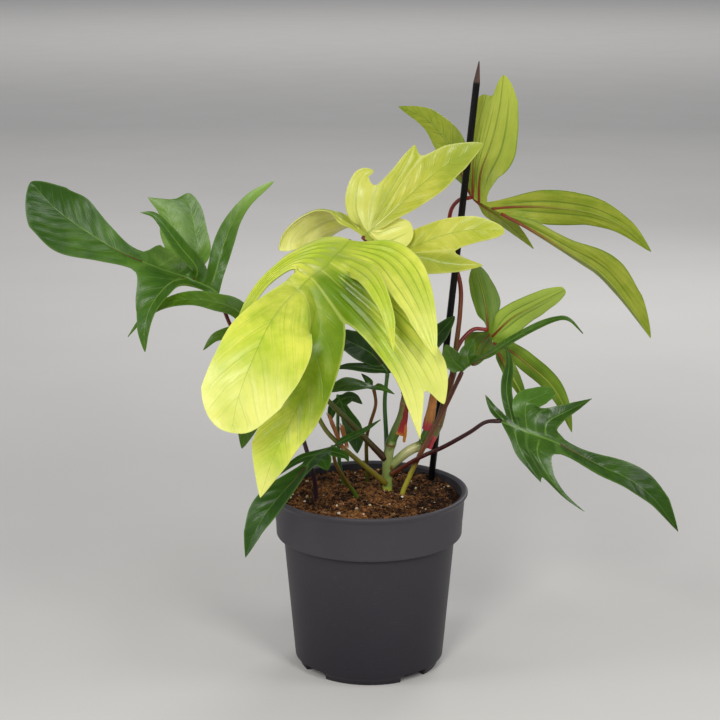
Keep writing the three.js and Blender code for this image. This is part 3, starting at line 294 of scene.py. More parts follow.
LOOKS = {
    "front": dict(LIME, pleat=0.8, vein_gap=19.0, relief_gap=19.0, ripple=0.8, line="#6a9018",
                  line_amount=0.55),
    "crown": dict(PALE, pleat=0.6, vein_gap=15.0, relief_gap=15.0, line="#93a436", line_amount=0.5),
    "top": dict(MIDDLE, relief_gap=13.0, rib=1.3),
    "mid": dict(MIDDLE, light="#5c7a24", dark="#42661a", under_light="#86a02e", under_dark="#64841c",
                rib=1.2, high="#b0c850", low="#3c5c10"),
    "inner": dict(DARK, light="#55791f", dark="#385c12"),
    "low_right": dict(DARK, light="#33530f", dark="#213e09", low="#152c05", rough=0.26, vein="#3c601c",
                      mid="#6c9038", mid_amount=0.6, rib_width=0.4, high="#558026"),
    "left": dict(DARK, light="#557c22", dark="#3b6214", vein="#75963e", mid="#7c9c44", rich="#305610",
                 high="#86a84a", low="#264a08", under_light="#86a040", under_dark="#6b8a2c"),
    "low_left": dict(DARK, light="#335612", dark="#214208", mid="#5c8034"),
    "shade_a": dict(DARK, light="#22400e", dark="#162e08"),
    "shade_b": dict(DARK, light="#4f7424", dark="#35561a"),
    "back": dict(DARK, light="#6c9024", dark="#4c7412"),
    "hanging": dict(DARK, light="#3c641c", dark="#2a4c12"),
}
LOOK = dict(spec=0.4, rough=0.3, glow=0.0, vein_gap=13.0, relief_gap=9.0, vein_amount=0.25,
            line_amount=0.35, under_vein=0.35, rib_width=0.55, mid_amount=0.6, pleat=0.35, ripple=0.5,
            rib=1.0)


def full_look(given):
    """A leaf look with what it leaves out filled in."""
    alike = dict(line=given["vein"], under_line=given["under_dark"], rib_base=given["under_light"],
                 rib_tip=given["under_light"])
    return SimpleNamespace(**{**LOOK, **alike, **given})


# ------------------------------------------------------------------ curves and noise
def unit(v):
    v = np.asarray(v, float)
    return v / np.maximum(np.linalg.norm(v, axis=-1, keepdims=True), 1e-9)


def smooth(t):
    t = np.clip(t, 0, 1)
    return t * t * (3 - 2 * t)


def bell(x, width):
    return np.exp(-(x / width) ** 2)


def catmull(P, t):
    """Points at t = 0..1 on a uniform Catmull-Rom spline through P."""
    n = len(P)
    E = np.vstack([2 * P[0] - P[1], P, 2 * P[-1] - P[-2]])
    x = np.clip(t, 0, 1) * (n - 1)
    i = np.minimum(x.astype(int), n - 2)
    f = (x - i)[:, None]
    a, b, c, d = E[i], E[i + 1], E[i + 2], E[i + 3]
    m0, m1 = 0.5 * (c - a), 0.5 * (d - b)
    return b + f * m0 + f * f * (3 * (c - b) - 2 * m0 - m1) + f ** 3 * (2 * (b - c) + m0 + m1)


class Curve:
    """A spline through points [x, y, z] or [x, y, z, radius], read by the share of its length."""

    def __init__(self, points):
        points = np.array(points, float)
        self.P, self.R = points[:, :3], points[:, 3:].ravel()
        self.t = np.linspace(0, 1, 801)
        step = np.linalg.norm(np.diff(catmull(self.P, self.t), axis=0), axis=1)
        self.L = np.r_[0, np.cumsum(step)]
        self.length = self.L[-1]

    def share(self, u):
        return np.interp(np.atleast_1d(u) * self.length, self.L, self.t)

    def at(self, u):
        return catmull(self.P, self.share(u))

    def tangent(self, u):
        t = np.clip(self.share(u), 1e-4, 1 - 1e-4)
        return unit(catmull(self.P, t + 1e-4) - catmull(self.P, t - 1e-4))

    def radius(self, u):
        return np.interp(self.share(u) * (len(self.R) - 1), range(len(self.R)), self.R)


def noise(p, scale, seed=0):
    """Smooth value noise in -1..1 at points p, from a seeded hash of the lattice."""
    q = np.asarray(p, float) / scale + 71.3 * (seed + 1)
    i = np.floor(q).astype(np.int64)
    f = smooth(q - i)
    total = np.zeros(len(q))
    for corner in np.ndindex(2, 2, 2):
        h = (i + corner) @ np.array([374761393, 668265263, 2147483647])
        h = (h ^ (h >> 13)) * 1274126177 % 4294967296
        h = ((h ^ (h >> 16)) & 65535) / 32767.5 - 1
        total += h * np.where(corner, f, 1 - f).prod(axis=1)
    return total


# ------------------------------------------------------------------ meshes
def make_mesh(name, verts, faces, attributes=None, angle=0):
    """A mesh object in metres from millimetre points. Attributes have a value for each face corner,
    and edges sharper than the angle stay sharp."""
    mesh = bpy.data.meshes.new(name)
    mesh.from_pydata((np.asarray(verts, float) * MM).tolist(), [], faces)
    for key, values in (attributes or {}).items():
        values = np.asarray(values, np.float32)
        kind, slot = ("FLOAT_VECTOR", "vector") if values.ndim == 2 else ("FLOAT", "value")
        mesh.attributes.new(key, kind, "CORNER").data.foreach_set(slot, values.ravel())
    mesh.polygons.foreach_set("use_smooth", [True] * len(mesh.polygons))
    if angle:
        mesh.set_sharp_from_angle(angle=math.radians(angle))
    mesh.update()
    obj = bpy.data.objects.new(name, mesh)
    scene.collection.objects.link(obj)
    return obj


def merge(parts):
    """The points and faces of several (points, faces, ...) as one mesh."""
    faces, n = [], 0
    for part in parts:
        faces += [[i + n for i in face] for face in part[1]]
        n += len(part[0])
    return np.vstack([part[0] for part in parts]), faces


def gather(parts, k):
    return np.concatenate([part[k] for part in parts])


def number(n, m, start=0):
    return np.arange(start, start + n * m).reshape(n, m)


def net(g):
    """Quads over a grid of point numbers: here, next row, next row and column, next column."""
    return np.stack([g[:-1, :-1], g[1:, :-1], g[1:, 1:], g[:-1, 1:]], axis=-1).reshape(-1, 4)


def skin(rings, first, last, flip=False):
    """Points and faces of a skin over closed rings of points, with a fan to one point at each end."""
    n, m = rings.shape[:2]
    g = number(n, m)
    g = np.c_[g, g[:, 0]]
    quads = net(g) if flip else net(g)[:, TURNED]
    fans = np.vstack([np.c_[np.full(m, n * m), g[0, 1:], g[0, :-1]],
                      np.c_[np.full(m, n * m + 1), g[-1, :-1], g[-1, 1:]]])
    if flip:
        fans = fans[:, [0, 2, 1]]
    return np.vstack([rings.reshape(-1, 3), [first], [last]]), quads.tolist() + fans.tolist()


def circle(r, z, segments):
    a = np.arange(segments) * TURN / segments
    return np.c_[r * np.cos(a), r * np.sin(a), z + 0 * a]


def lathe(profile, segments):
    """Points and faces of [r, z] rows turned round the Z axis; the first and last are on the axis."""
    rings = np.array([circle(r, z, segments) for r, z in profile[1:-1]])
    return skin(rings, [0, 0, profile[0][1]], [0, 0, profile[-1][1]])


def tube(points, steps=48, sides=20, shape=None, cap=0.5):
    """A rod along points [x, y, z, radius] with domed ends: points, faces and (length, turn, share of
    the length) for each corner. shape(u, angle) scales the radius."""
    curve = Curve(points)
    u = np.linspace(0, 1, steps + 1)
    c, t, r = curve.at(u), curve.tangent(u), curve.radius(u)
    n = [np.cross(t[0], [0, 0, 1] if abs(t[0][2]) < 0.9 else [0, 1, 0])]
    for way in t:
        n.append(unit(n[-1] - way * n[-1].dot(way)))
    n = np.array(n[1:])
    dome = np.array([0.35, 0.7, 0.92])
    k = np.r_[0, 0, 0, :steps + 1, [steps] * 3]
    e = np.r_[dome, np.ones(steps + 1), dome[::-1]]
    c, t, r, n, u = c[k], t[k], r[k], n[k], u[k]
    a = np.arange(sides) * TURN / sides
    scale = np.array([shape(s, a) * np.ones(sides) for s in u]) if shape else np.ones((len(k), sides))
    out = np.cos(a)[:, None] * n[:, None] + np.sin(a)[:, None] * np.cross(t, n)[:, None]
    beyond = t * (np.where(k > 0, cap, -cap) * r * (1 - e))[:, None]
    rings = (c + beyond)[:, None] + ((r * e ** 0.5)[:, None] * scale)[..., None] * out
    verts, faces = skin(rings, c[0] - t[0] * r[0] * cap, c[-1] + t[-1] * r[-1] * cap)
    row, turn = np.divmod(net(number(len(k), sides + 1))[:, TURNED].ravel(), sides + 1)
    share = np.r_[u[row], np.repeat([0, 1], 3 * sides)]
    turn = np.r_[turn, np.tile(np.repeat(np.arange(sides), 3), 2)] * TURN / sides
    return verts, faces, np.c_[share * curve.length, turn, share]


# ------------------------------------------------------------------ leaf blades
class Lobe:
    """A lobe as a grid of points: cross-sections along its rib, with a half width on each side. info
    holds (distance along the rib, distance across, width, share of the rib, -1..1 across)."""

    def __init__(self, spec, side, face, count, curve, cols, base, start=0, root=None):
        self.spec, self.side, self.rows, self.curve = spec, side, count, curve
        self.cols, self.base = cols, base
        self.web = max(1, int(spec["web"] * count + 0.5))
        x = np.arange(count * FINE + 1) / FINE
        s = self.param(x)
        v = np.linspace(-1, 1, cols + 1)
        u = start + (1 - start) * s
        c, t = curve.at(u), curve.tangent(u)
        n = unit(spec.get("start", face)) * (1 - s[:, None]) + unit(spec["face"]) * s[:, None]
        n = unit(n - t * (n * t).sum(1, keepdims=True))
        d = np.cross(n, t) if side == "right" else np.cross(t, n)
        w = np.where(v < 0, self.half(s, spec["w"][0])[:, None], self.half(s, spec["w"][1])[:, None])
        near, far = np.broadcast_to(spec.get("cup", 0.12), 2)
        lift = np.where(v < 0, near, far) * w * np.abs(v) ** 1.5
        blend = np.clip(x, 0, 1) ** 0.8 if side == "end" else smooth(s / spec.get("flare", 0.3))
        blend = blend[:, None, None]
        p = (d[:, None] * (w * v)[..., None] + n[:, None] * lift[..., None]) * blend
        if root:
            p = p + root((v + 1) / 2) * (1 - blend)
        self.grid = p + c[:, None]
        s = s[:, None] * np.ones(cols + 1)
        self.info = np.stack([s * curve.length * (1 - start), v * w, w, s, v + 0 * s], axis=-1)

    def param(self, x):
        """Share of the rib at row x: a short first row, and shorter rows towards the tip."""
        first = self.spec.get("first", 0.16)
        late = 1 - (1 - np.clip((x - 1) / (self.rows - 1), 0, 1)) ** 1.3
        return np.where(x <= 1, first * x, first + (1 - first) * late)

    def half(self, s, w):
        """Half width at share s: a spline through the widths, and a rounded or sharp tip."""
        n = len(w)
        x = s * n
        i = np.minimum(x.astype(int), n - 2)
        t = x - i
        a, b, c, d = w[np.maximum(i - 1, 0)], w[i], w[i + 1], w[np.minimum(i + 2, n - 1)]
        body = b + 0.5 * t * (c - a + t * (2 * a - 5 * b + 4 * c - d + t * (3 * (b - c) + d - a)))
        return np.where(x >= n - 1, w[-1] * np.maximum(n - x, 0) ** self.spec.get("tip", 0.8), body)

    def pull(self, column, n, by):
        """Moves one edge by the steps in by over the n rows of a web, and ever less past them."""
        r = np.arange(1, self.rows * FINE)
        webbed = self.param(n / FINE)
        fade = 1 - np.sqrt(np.clip((self.param(r / FINE) - webbed) / min(0.35, 1 - webbed), 0, 1))
        near = np.clip(np.linspace(-1, 1, self.cols + 1) * (1 if column else -1), 0, 1) ** 1.4
        self.grid[r] += near[:, None] * (fade[:, None] * by[np.minimum(r, n)])[:, None]


def leaf_grids(spec):
    """The lobes of a leaf with their grids, and its points, which lobes share along their webs."""
    end_curve = Curve([[0, 0, 0]] + spec["end"]["rib"])
    sides = {side: spec.get(side, []) for side in ("left", "right")}
    spans = {side: sum(item["span"] for item in items) for side, items in sides.items()}
    coarse = max(spans.values())
    cols = coarse * COLS

    def at_palm(q):
        return end_curve.at(spec["palm"] * np.atleast_1d(q) ** spec.get("crowd", 1))
    verts, count = [at_palm(np.arange(cols + 1) / cols)], cols + 1
    made = {}
    for side, items in sides.items():
        made[side], hi = [], 0
        for item in items:
            lo, hi = hi, hi + item["span"]
            centre = at_palm((lo + hi) / 2 / coarse)[0]

            def root(q, lo=lo, hi=hi, centre=centre):
                return at_palm((lo + (hi - lo) * q) / coarse) - centre
            made[side].append(Lobe(item, side, spec["face"], ROWS, Curve([centre] + item["rib"]),
                                   item["span"] * COLS, np.arange(lo * COLS, hi * COLS + 1), root=root))
    width = spec["end"]["cols"] * COLS
    end = Lobe(spec["end"], "end", spec["face"], END_ROWS, end_curve, width, np.full(width + 1, cols),
               spec["palm"])
    # seams: the last column of one lobe and the first of the next, or a side of the end lobe
    seams = []
    for side, column in (("left", 0), ("right", end.cols)):
        seams += [(a, a.cols, b, 0) for a, b in zip(made[side], made[side][1:])]
        if spans[side] == coarse:
            seams.append((made[side][-1], made[side][-1].cols, end, column))
    for a, ka, b, kb in seams:
        n = a.web * FINE
        gap = (b.grid[:n + 1, kb] - a.grid[:n + 1, ka]) / 2
        a.pull(ka, n, gap)
        b.pull(kb, n, -gap)
    lobes = made["left"] + made["right"] + [end]
    for one in lobes:
        one.id = np.full(one.grid.shape[:2], -1)
        one.id[0], one.id[-1] = one.base, count
        verts.append(one.grid[-1, :1])
        count += 1
    for a, ka, b, kb in seams:
        n = a.web * FINE
        a.id[1:n + 1, ka] = b.id[1:n + 1, kb] = np.arange(count, count + n)
        verts.append(a.grid[1:n + 1, ka])
        count += n
    for one in lobes:
        free = one.id < 0
        one.id[free] = np.arange(count, count + free.sum())
        verts.append(one.grid[free])
        count += free.sum()
    return lobes, np.vstack(verts)


def sums(at, values, count):
    """Sums of the rows of values that belong to each point."""
    return np.stack([np.bincount(at, column, count) for column in values.T], axis=1)


def relax(values, quads, rounds, hold=True):
    """Evens out positions or other values over the net; with hold, the outline keeps its own."""
    pairs = np.vstack([quads[:, [i, (i + 1) % 4]] for i in range(4)])
    pairs = pairs[pairs[:, 0] != pairs[:, 1]]
    key, times = np.unique(np.sort(pairs, axis=1), axis=0, return_counts=True)
    i, j = np.r_[key[:, 0], key[:, 1]], np.r_[key[:, 1], key[:, 0]]
    degree = np.maximum(np.bincount(i, minlength=len(values)), 1)[:, None]
    free = degree[:, 0] > 1
    if hold:
        free[key[times == 1].ravel()] = False
    for _ in range(rounds):
        mean = sums(i, values[j], len(values)) / degree
        values[free] += 0.4 * (mean[free] - values[free])


def blade(spec, look):
    """A leaf blade as parts of one mesh: a closed sheet with pleats and a sunken midrib, and the raised ribs
    below it. Each part is (points, faces, data for each corner: the lobe's along, across and width, share, -1..1
    across and pleats, then 0 above, 1 below or 2 on a rib, and the painted light and shade, partly the lobe's own
    tone)."""
    lobes, verts = leaf_grids(spec)
    corners, info, point, n = [], [], [], 0
    for k, one in enumerate(lobes):
        q = net(number(*one.id.shape, n))
        corners.append(q if one.side == "right" else q[:, ::-1])
        info.append(np.c_[one.info.reshape(-1, 5), np.full(one.id.size, k)])
        point.append(one.id.ravel())
        n += one.id.size
    corners, info, point = np.vstack(corners), np.vstack(info), np.concatenate(point)
    quads = point[corners]
    relax(verts, quads, 30)
    count = len(verts)
    p = verts[quads]
    across = np.cross(p[:, 2] - p[:, 0], p[:, 3] - p[:, 1])
    normal = unit(sums(quads.ravel(), np.repeat(across, 4, axis=0), count))
    share = np.maximum(np.bincount(point, minlength=count), 1)

    def mean(values):
        return np.bincount(point, values, count) / share
    # relief: long pleats between the lobe's edges, side veins and a channel over the rib
    along, across, w, s, v, owner = info.T
    d = np.abs(across)
    pleats = np.array([one.spec.get("pleats", 0) for one in lobes], float)[owner.astype(int)]
    waves = np.where(pleats > 0, np.cos(np.pi * pleats * (v + 1)), 0) * smooth((1 - np.abs(v)) * 5)
    lateral = np.cos(TURN * (along - 0.8 * d) / look.relief_gap) * smooth(d / 5) * smooth((w - d) / 5)
    relief = look.pleat * waves * smooth(1.25 - s) * smooth(s * 6) + 0.16 * lateral * (1 - smooth(pleats))
    relief -= 0.45 * bell(d, 1.3) * smooth(s * 8) * (1 - s) * (pleats == 0)
    ripple = look.ripple * noise(verts, 17.0, 3) * mean(smooth(d / 8))
    # painted light and shade: each lobe's stops from foot to tip, evened out across the lobes
    tone = np.zeros(len(s))
    for k, one in enumerate(lobes):
        stops, mine = one.spec["tone"], owner == k
        tone[mine] = np.interp(s[mine], np.linspace(0, 1, len(stops)), stops)
    tone = mean(tone)[:, None]
    relax(tone, quads, 40, hold=False)
    table = np.c_[info[:, :5], pleats, tone[point, 0]]
    sheet = verts + normal * (mean(relief) + ripple)[:, None] + spec["at"]
    faces, data, under, border = [], [], [], {}
    for c, q in zip(corners.tolist(), quads.tolist()):
        for low, ids, at in ((0, q, c), (1, q[::-1], c[::-1])):
            keep = [k for k in range(4) if ids[k] != ids[k - 1]]
            if len(keep) > 2:
                faces.append([ids[k] + count * low for k in keep])
                data += [at[k] for k in keep]
                under += [low] * len(keep)
        for k in range(4):
            i, j = q[k - 1], q[k]
            if i != j and border.pop((j, i), None) is None:
                border[i, j] = (c[k - 1], c[k])
    # wall round the outline
    for (i, j), (at_i, at_j) in border.items():
        faces.append([i, i + count, j + count, j])
        data += [at_i, at_i, at_j, at_j]
        under += [0, 0.9, 0.9, 0]
    parts = [(np.vstack([sheet + normal * BLADE / 2, sheet - normal * BLADE / 2]), faces,
              np.insert(table[data], 6, under, axis=1))]
    for one in lobes:
        line = one.id[:, one.cols // 2]
        scale = look.rib * (1.0 if one.side == "end" else 0.75) * min(1, one.curve.length / 60)
        rib = [[*(sheet[line[k]] - normal[line[k]] * (BLADE / 2 + 0.15)),
                max(0.16, scale * (1 - 0.85 * k / len(line)))] for k in range(0, len(line), 3)]
        verts, faces, at = tube(rib, steps=len(rib) * 2, sides=7)
        data = np.zeros((len(at), 8))
        data[:, 0], data[:, 2], data[:, 3], data[:, 6] = at[:, 0] + 9, 9, at[:, 2], 2
        parts.append((verts, faces, data))
    return parts


# ------------------------------------------------------------------ materials
def rgb(hexcode):
    """Linear colour from an sRGB hex code."""
    c = np.array([int(hexcode[i:i + 2], 16) / 255 for i in (1, 3, 5)])
    return *np.where(c <= 0.04045, c / 12.92, ((c + 0.055) / 1.055) ** 2.4).tolist(), 1.0


class Value:
    """A shader socket that takes part in sums as a number does."""

    def __init__(self, shade, socket):
        self.shade, self.socket = shade, socket

    def __rsub__(self, other):
        return self.shade.math("SUBTRACT", other, self)


for sign, op in (("add", "ADD"), ("sub", "SUBTRACT"), ("mul", "MULTIPLY"), ("truediv", "DIVIDE")):
    setattr(Value, f"__{sign}__", lambda self, other, op=op: self.shade.math(op, self, other))


class Shade:
    """A node material with one principled shader. A colour is a hex code or a Value."""

    def __init__(self, name, specular, more=None):
        self.mat = bpy.data.materials.new(name)
        self.mat.use_nodes = True
        self.tree = self.mat.node_tree
        self.tree.nodes.clear()
        self.shader = self.node("BsdfPrincipled", {"Specular IOR Level": specular, **(more or {})})
        self.tree.links.new(self.shader.outputs[0], self.node("OutputMaterial").inputs[0])

    def feed(self, socket, value):
        if isinstance(value, Value):
            self.tree.links.new(value.socket, socket)
        elif value is not None:
            socket.default_value = rgb(value) if isinstance(value, str) else value

    def node(self, kind, inputs=None, **settings):
        n = self.tree.nodes.new("ShaderNode" + kind)
        for key, value in settings.items():
            setattr(n, key, value)
        for key, value in (inputs or {}).items():
            self.feed(n.inputs[key], value)
        return n

    def out(self, output, *args, **settings):
        return Value(self, self.node(*args, **settings).outputs[output])

    def math(self, op, a, b=None):
        return self.out(0, "Math", {0: a, 1: b}, operation=op)

    def value(self, name):
        return self.out("Fac", "Attribute", attribute_name=name)

    def vector(self, name):
        return self.split(self.out("Vector", "Attribute", attribute_name=name))

    def split(self, vector):
        return [Value(self, part) for part in self.node("SeparateXYZ", {0: vector}).outputs]

    def join(self, x, y, z):
        return self.out(0, "CombineXYZ", {0: x, 1: y, 2: z})

    def ramp(self, x, a, b):
        """x from a..b to 0..1, with soft ends."""
        return self.out("Result", "MapRange", {"Value": x, "From Min": a, "From Max": b},
                        interpolation_type="SMOOTHSTEP")

    def noise(self, vector, scale, detail=3.0, rough=0.5, distortion=0.0):
        return self.out("Fac", "TexNoise", {"Vector": vector, "Scale": scale, "Detail": detail,
                                            "Roughness": rough, "Distortion": distortion})

    def place(self):
        """Object position in millimetres."""
        return self.out(0, "VectorMath", {0: self.out("Object", "TexCoord"), 1: (1000.0,) * 3},
                        operation="MULTIPLY")

    def mix(self, f, a, b, blend="MIX"):
        return self.out(2, "Mix", {0: f, 6: a, 7: b}, data_type="RGBA", blend_type=blend)

    def stops(self, x, colours):
        """A colour ramp through stops such as "0 #7a6a1c, 1 #7d7a35"."""
        n = self.node("ValToRGB", {0: x})
        colours = [stop.split() for stop in colours.split(",")]
        parts = n.color_ramp.elements
        while len(parts) < len(colours):
            parts.new(0.5)
        for part, (at, code) in zip(parts, colours):
            part.position, part.color = float(at), rgb(code)
        return Value(self, n.outputs[0])

    def finish(self, colour, rough, height=None, distance=0.0):
        """Feeds the shader; the height makes relief up to the distance, in metres."""
        bump = height and self.out("Normal", "Bump", {"Height": height, "Distance": distance,
                                                      "Strength": 1.0})
        for key, value in (("Base Color", colour), ("Roughness", rough), ("Normal", bump)):
            self.feed(self.shader.inputs[key], value)
        return self.mat


def leaf_material(name, look):
    """Blade: two greens mottled along the veins, painted light and painted shade over parts of each lobe (partly
    the leaf's own lighter and darker greens), faint sunken veins, a thin midrib, a pale margin, a duller
    underside with the same painted light and shade, and a coloured rib below."""
    m = Shade(name, look.spec, {"Subsurface Weight": look.glow, "Subsurface Radius": (1.0, 0.9, 0.25),
                                "Subsurface Scale": 0.002})
    along, across, width = m.vector("rib")
    s, v, pleats = m.vector("extra")
    under, tone = m.value("under"), m.value("tone")
    d = m.math("ABSOLUTE", across)
    place = m.place()
    pleated = m.ramp(pleats, 0, 1)
    # the veins leave the rib at a low angle and turn forward
    phase = along - d * (d * 0.018 + 1.35) + (m.noise(place, 0.05, 2) - 0.5) * 5.0
    cross = phase * 0.30 * (1 - pleated) + across * 0.55 * pleated
    streak = m.noise(m.join(cross, along * 0.022, 3.1), 1.0, 4, 0.62, 0.4)
    fine = m.noise(m.join(cross * 4.0, along * 0.10, 1.7), 1.0, 3, 0.6)
    blotch = m.noise(place, 0.045, 4, 0.6)
    patch = m.noise(place, 0.014, 2)
    speck = m.noise(place, 1.3, 3, 0.7)
    mottle = m.ramp(blotch * 0.42 + streak * 0.34 + fine * 0.14 + speck * 0.12, 0.40, 0.62)
    colour = m.mix(mottle, look.dark, look.light)
    colour = m.mix(m.ramp(patch + m.ramp(d, 14, 0) * 0.12, 0.46, 0.66) * 0.45, colour, look.rich)
    # painted light and painted shade: the lobe's painted tone turns the green towards the high colour (painted
    # light) and the low colour (painted shade)
    colour = m.mix(m.ramp(tone + (blotch - 0.5) * 0.5, 0, 1), colour, look.high)
    colour = m.mix(m.ramp(tone + (blotch - 0.5) * 0.6, 0, -1), colour, look.low)
    colour = m.mix(m.ramp(speck, 0.60, 0.74) * 0.22, colour, look.rich)
    # sunken veins, along the pleats or out from the rib
    long = m.ramp(m.math("COSINE", (v + 1) * pleats * math.pi), 0.80, 1.0) * pleated
    long = long * m.ramp(s, 0.03, 0.2) * m.ramp(s, 1.0, 0.5)
    wave = m.math("COSINE", phase * (TURN / look.vein_gap))
    inside = m.ramp(width - d, 0, 9) * m.ramp(s, 0, 0.15) * (1 - pleated)
    lateral = m.ramp(wave, 0.93, 1.0) * inside
    veins = m.math("MAXIMUM", long, lateral)
    colour = m.mix(lateral * look.vein_amount, colour, look.vein)
    colour = m.mix(long * look.line_amount, colour, look.line)
    mid = 1 - m.ramp(d / ((1.2 - s) * look.rib_width), 0.4, 1.3)
    mid = mid * m.ramp(s, 0, 0.12) * m.ramp(pleats, 2, 0)
    mid = m.math("MAXIMUM", mid, m.ramp(along, 1.3, 0.5))
    colour = m.mix(mid * look.mid_amount, colour, look.mid)
    edge = m.ramp(width - d, 1.3, 0.3) * m.ramp(width, 1.5, 5.0)
    colour = m.mix(edge * 0.35, colour, look.edge)
    # the underside and its rib
    low = m.mix(mottle, look.under_dark, look.under_light)
    # the same painted light and painted shade on the underside
    low = m.mix(m.ramp(tone, 0, -1) * 0.7, low, look.low)
    low = m.mix(m.ramp(tone, 0, 1) * 0.8, low, look.high)
    low = m.mix(veins * look.under_vein, low, look.under_line)
    colour = m.mix(under, colour, low)
    rib = m.mix(m.ramp(s + (blotch - 0.5) * 0.3, 0, 0.6), look.rib_base, look.rib_tip)
    colour = m.mix(m.ramp(under, 1.3, 1.7), colour, rib)
    rough = fine * 0.14 + m.ramp(under, 0, 1) * 0.14 + (look.rough - 0.07)
    height = fine * 0.3 + streak * 0.7 + speck * 0.12 - m.ramp(wave, -1, 1) * inside * 0.9 - veins * 0.5
    return m.finish(colour, rough, height, 0.0003)


def round_lines(m, along, turn, size, stretch, *detail):
    """Noise drawn out along a rod."""
    ring = [m.math(op, turn) * size for op in ("COSINE", "SINE")]
    return m.noise(m.join(*ring, along * stretch), *detail)


def stalk_material(name, colours, rough=0.3, specular=0.45):
    """Petiole or stem: colours along it, fine lines, specks and brown scars."""
    m = Shade(name, specular)
    along, turn, share = m.vector("rib")
    scar = m.value("scar")
    place = m.place()
    colour = m.stops(share + (m.noise(place, 0.08) - 0.5) * 0.16, colours)
    lines = round_lines(m, along, turn, 1.0, 0.02, 7.0, 3, 0.6)
    colour = m.mix(m.ramp(lines, 0.5, 0.7) * 0.35, colour, (0.30, 0.24, 0.10, 1), "MULTIPLY")
    dots = m.noise(place, 1.1, 2, 0.7)
    colour = m.mix(m.ramp(dots, 0.62, 0.75) * 0.25, colour, (0.5, 0.45, 0.2, 1))
    colour = m.mix(m.ramp(scar + (lines - 0.5) * 0.7, 0.35, 0.7) * 0.85, colour, "#6b4522")
    return m.finish(colour, lines * 0.2 + (rough - 0.08), lines + dots * 0.6 + scar * 2.0, 0.00012)


def sheath_material(name, colours):
    """Dry papery sheath: colours from foot to tip and dark lines along it."""
    m = Shade(name, 0.4)
    along, across, _ = m.vector("rib")
    lines = m.noise(m.join(along * 0.05, across * 2.2, 0.4), 1.0, 4, 0.65)
    colour = m.stops(m.value("share") + (m.noise(m.place(), 0.2) - 0.5) * 0.12, colours)
    colour = m.mix(m.ramp(lines, 0.42, 0.65) * 0.6, colour, (0.28, 0.18, 0.10, 1), "MULTIPLY")
    return m.finish(colour, lines * 0.3 + 0.30, lines, 0.0004)


def stick_material(length):
    """Black paint, and bare wood over the sharpened tip."""
    m = Shade("stick", 0.2)
    along, turn, _ = m.vector("rib")
    grain = round_lines(m, along, turn, 3.0, 0.03, 1.6, 4, 0.6)
    bare = m.ramp(along + grain * 2.0, length - 15.5, length - 13.5)
    paint = m.mix(m.ramp(grain, 0.4, 0.7), "#050404", "#0c0a0b")
    wood = m.mix(m.ramp(grain, 0.35, 0.65), "#3a2824", "#5c463c")
    return m.finish(m.mix(bare, paint, wood), grain * 0.25 + 0.24, grain, 0.00025)


def pot_material():
    """Dark plastic: faint clouds and dust, with painted light: paler on the collar, a painted highlight on the
    rim, and lighter towards the top.
    """
    m = Shade("pot_plastic", 0.22)
    place = m.place()
    x, y, z = m.split(place)
    fine = m.noise(place, 0.9, 3, 0.6)
    scuff = m.noise(m.join(x * 0.3, y * 0.3, z * 1.6), 0.6, 4, 0.7)
    dust = m.ramp(scuff, 0.6, 0.8) * 0.25
    # painted light: the collar and the upper body lighter, as if lit from above, and a painted highlight along
    # the rim
    painted_top_light = m.ramp(z, 102.5, 104.5) * 0.35 + m.ramp(z, 0, 110) * 0.35 + m.ramp(z, 136, 137.6) * 0.25
    colour = m.mix(m.noise(place, 0.02, 3, 0.55), "#252328", "#2e2b31")
    colour = m.mix(dust, m.mix(painted_top_light, colour, "#48454a"), "#6a676c")
    return m.finish(colour, fine * 0.12 + dust * 0.5 + 0.40, fine + scuff * 0.4, 0.0001)


def peat_material():
    m = Shade("peat", 0.25)
    grit = m.noise(m.place(), 0.55, 5, 0.75)
    coarse = m.noise(m.place(), 0.07, 4, 0.6)
    colour = m.mix(m.ramp(grit, 0.35, 0.65), "#190e06", "#683e20")
    colour = m.mix(m.ramp(coarse, 0.48, 0.62) * 0.7, colour, "#926438")
    return m.finish(colour, 0.92, grit + coarse, 0.0012)


def crumb_material(name, dark, light, rough=0.9):
    """Lumps with their own tints, darker in wet patches, darker to the right as painted shade, and paler at the
    front left.
    """
    m = Shade(name, 0.2)
    place = m.place()
    x, y, _ = m.split(place)
    grit = m.noise(place, 1.2, 4, 0.7)
    wet = m.ramp(m.noise(place, 0.055, 3, 0.6), 0.40, 0.58)
    # painted shade: the lumps darken towards the right (x from 10 to 55 mm)
    k = m.value("tint") * 0.7 + grit * 0.5 - wet * 0.34 - m.ramp(x, 10, 55) * 0.32
    k = k + m.ramp(y, -10, -45) * m.ramp(x, 20, -10) * 0.2
    return m.finish(m.mix(m.ramp(k, 0.15, 0.95), dark, light), rough, grit, 0.0006)


def put(obj, material, node, *nodes, slot=None):
    """Dresses an object and lets it take the place of the CAD node, if there is one."""
    obj.data.materials.append(material)
    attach(obj, "root")
    if node:
        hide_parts(node, *nodes)


# ------------------------------------------------------------------ leaves, petioles and stem
for name, spec in LEAVES.items():
    look = full_look(LOOKS[name])
    parts = blade(spec, look)
    data = gather(parts, 2)
    obj = make_mesh("blade_" + name, *merge(parts), {
        "rib": data[:, :3], "extra": data[:, 3:6], "under": data[:, 6], "tone": data[:, 7]}, 50)
    put(obj, leaf_material("leaf_" + name, look), "leaf_" + name)


def stalk_shape(u, a):
    """A swollen foot, a slight swelling under the blade and a section that isn't quite round."""
    return (1 + 0.25 * math.exp(-u * 14) + 0.18 * bell(u - 0.97, 0.03)) * (1 + 0.02 * np.cos(3 * a + 9 * u))


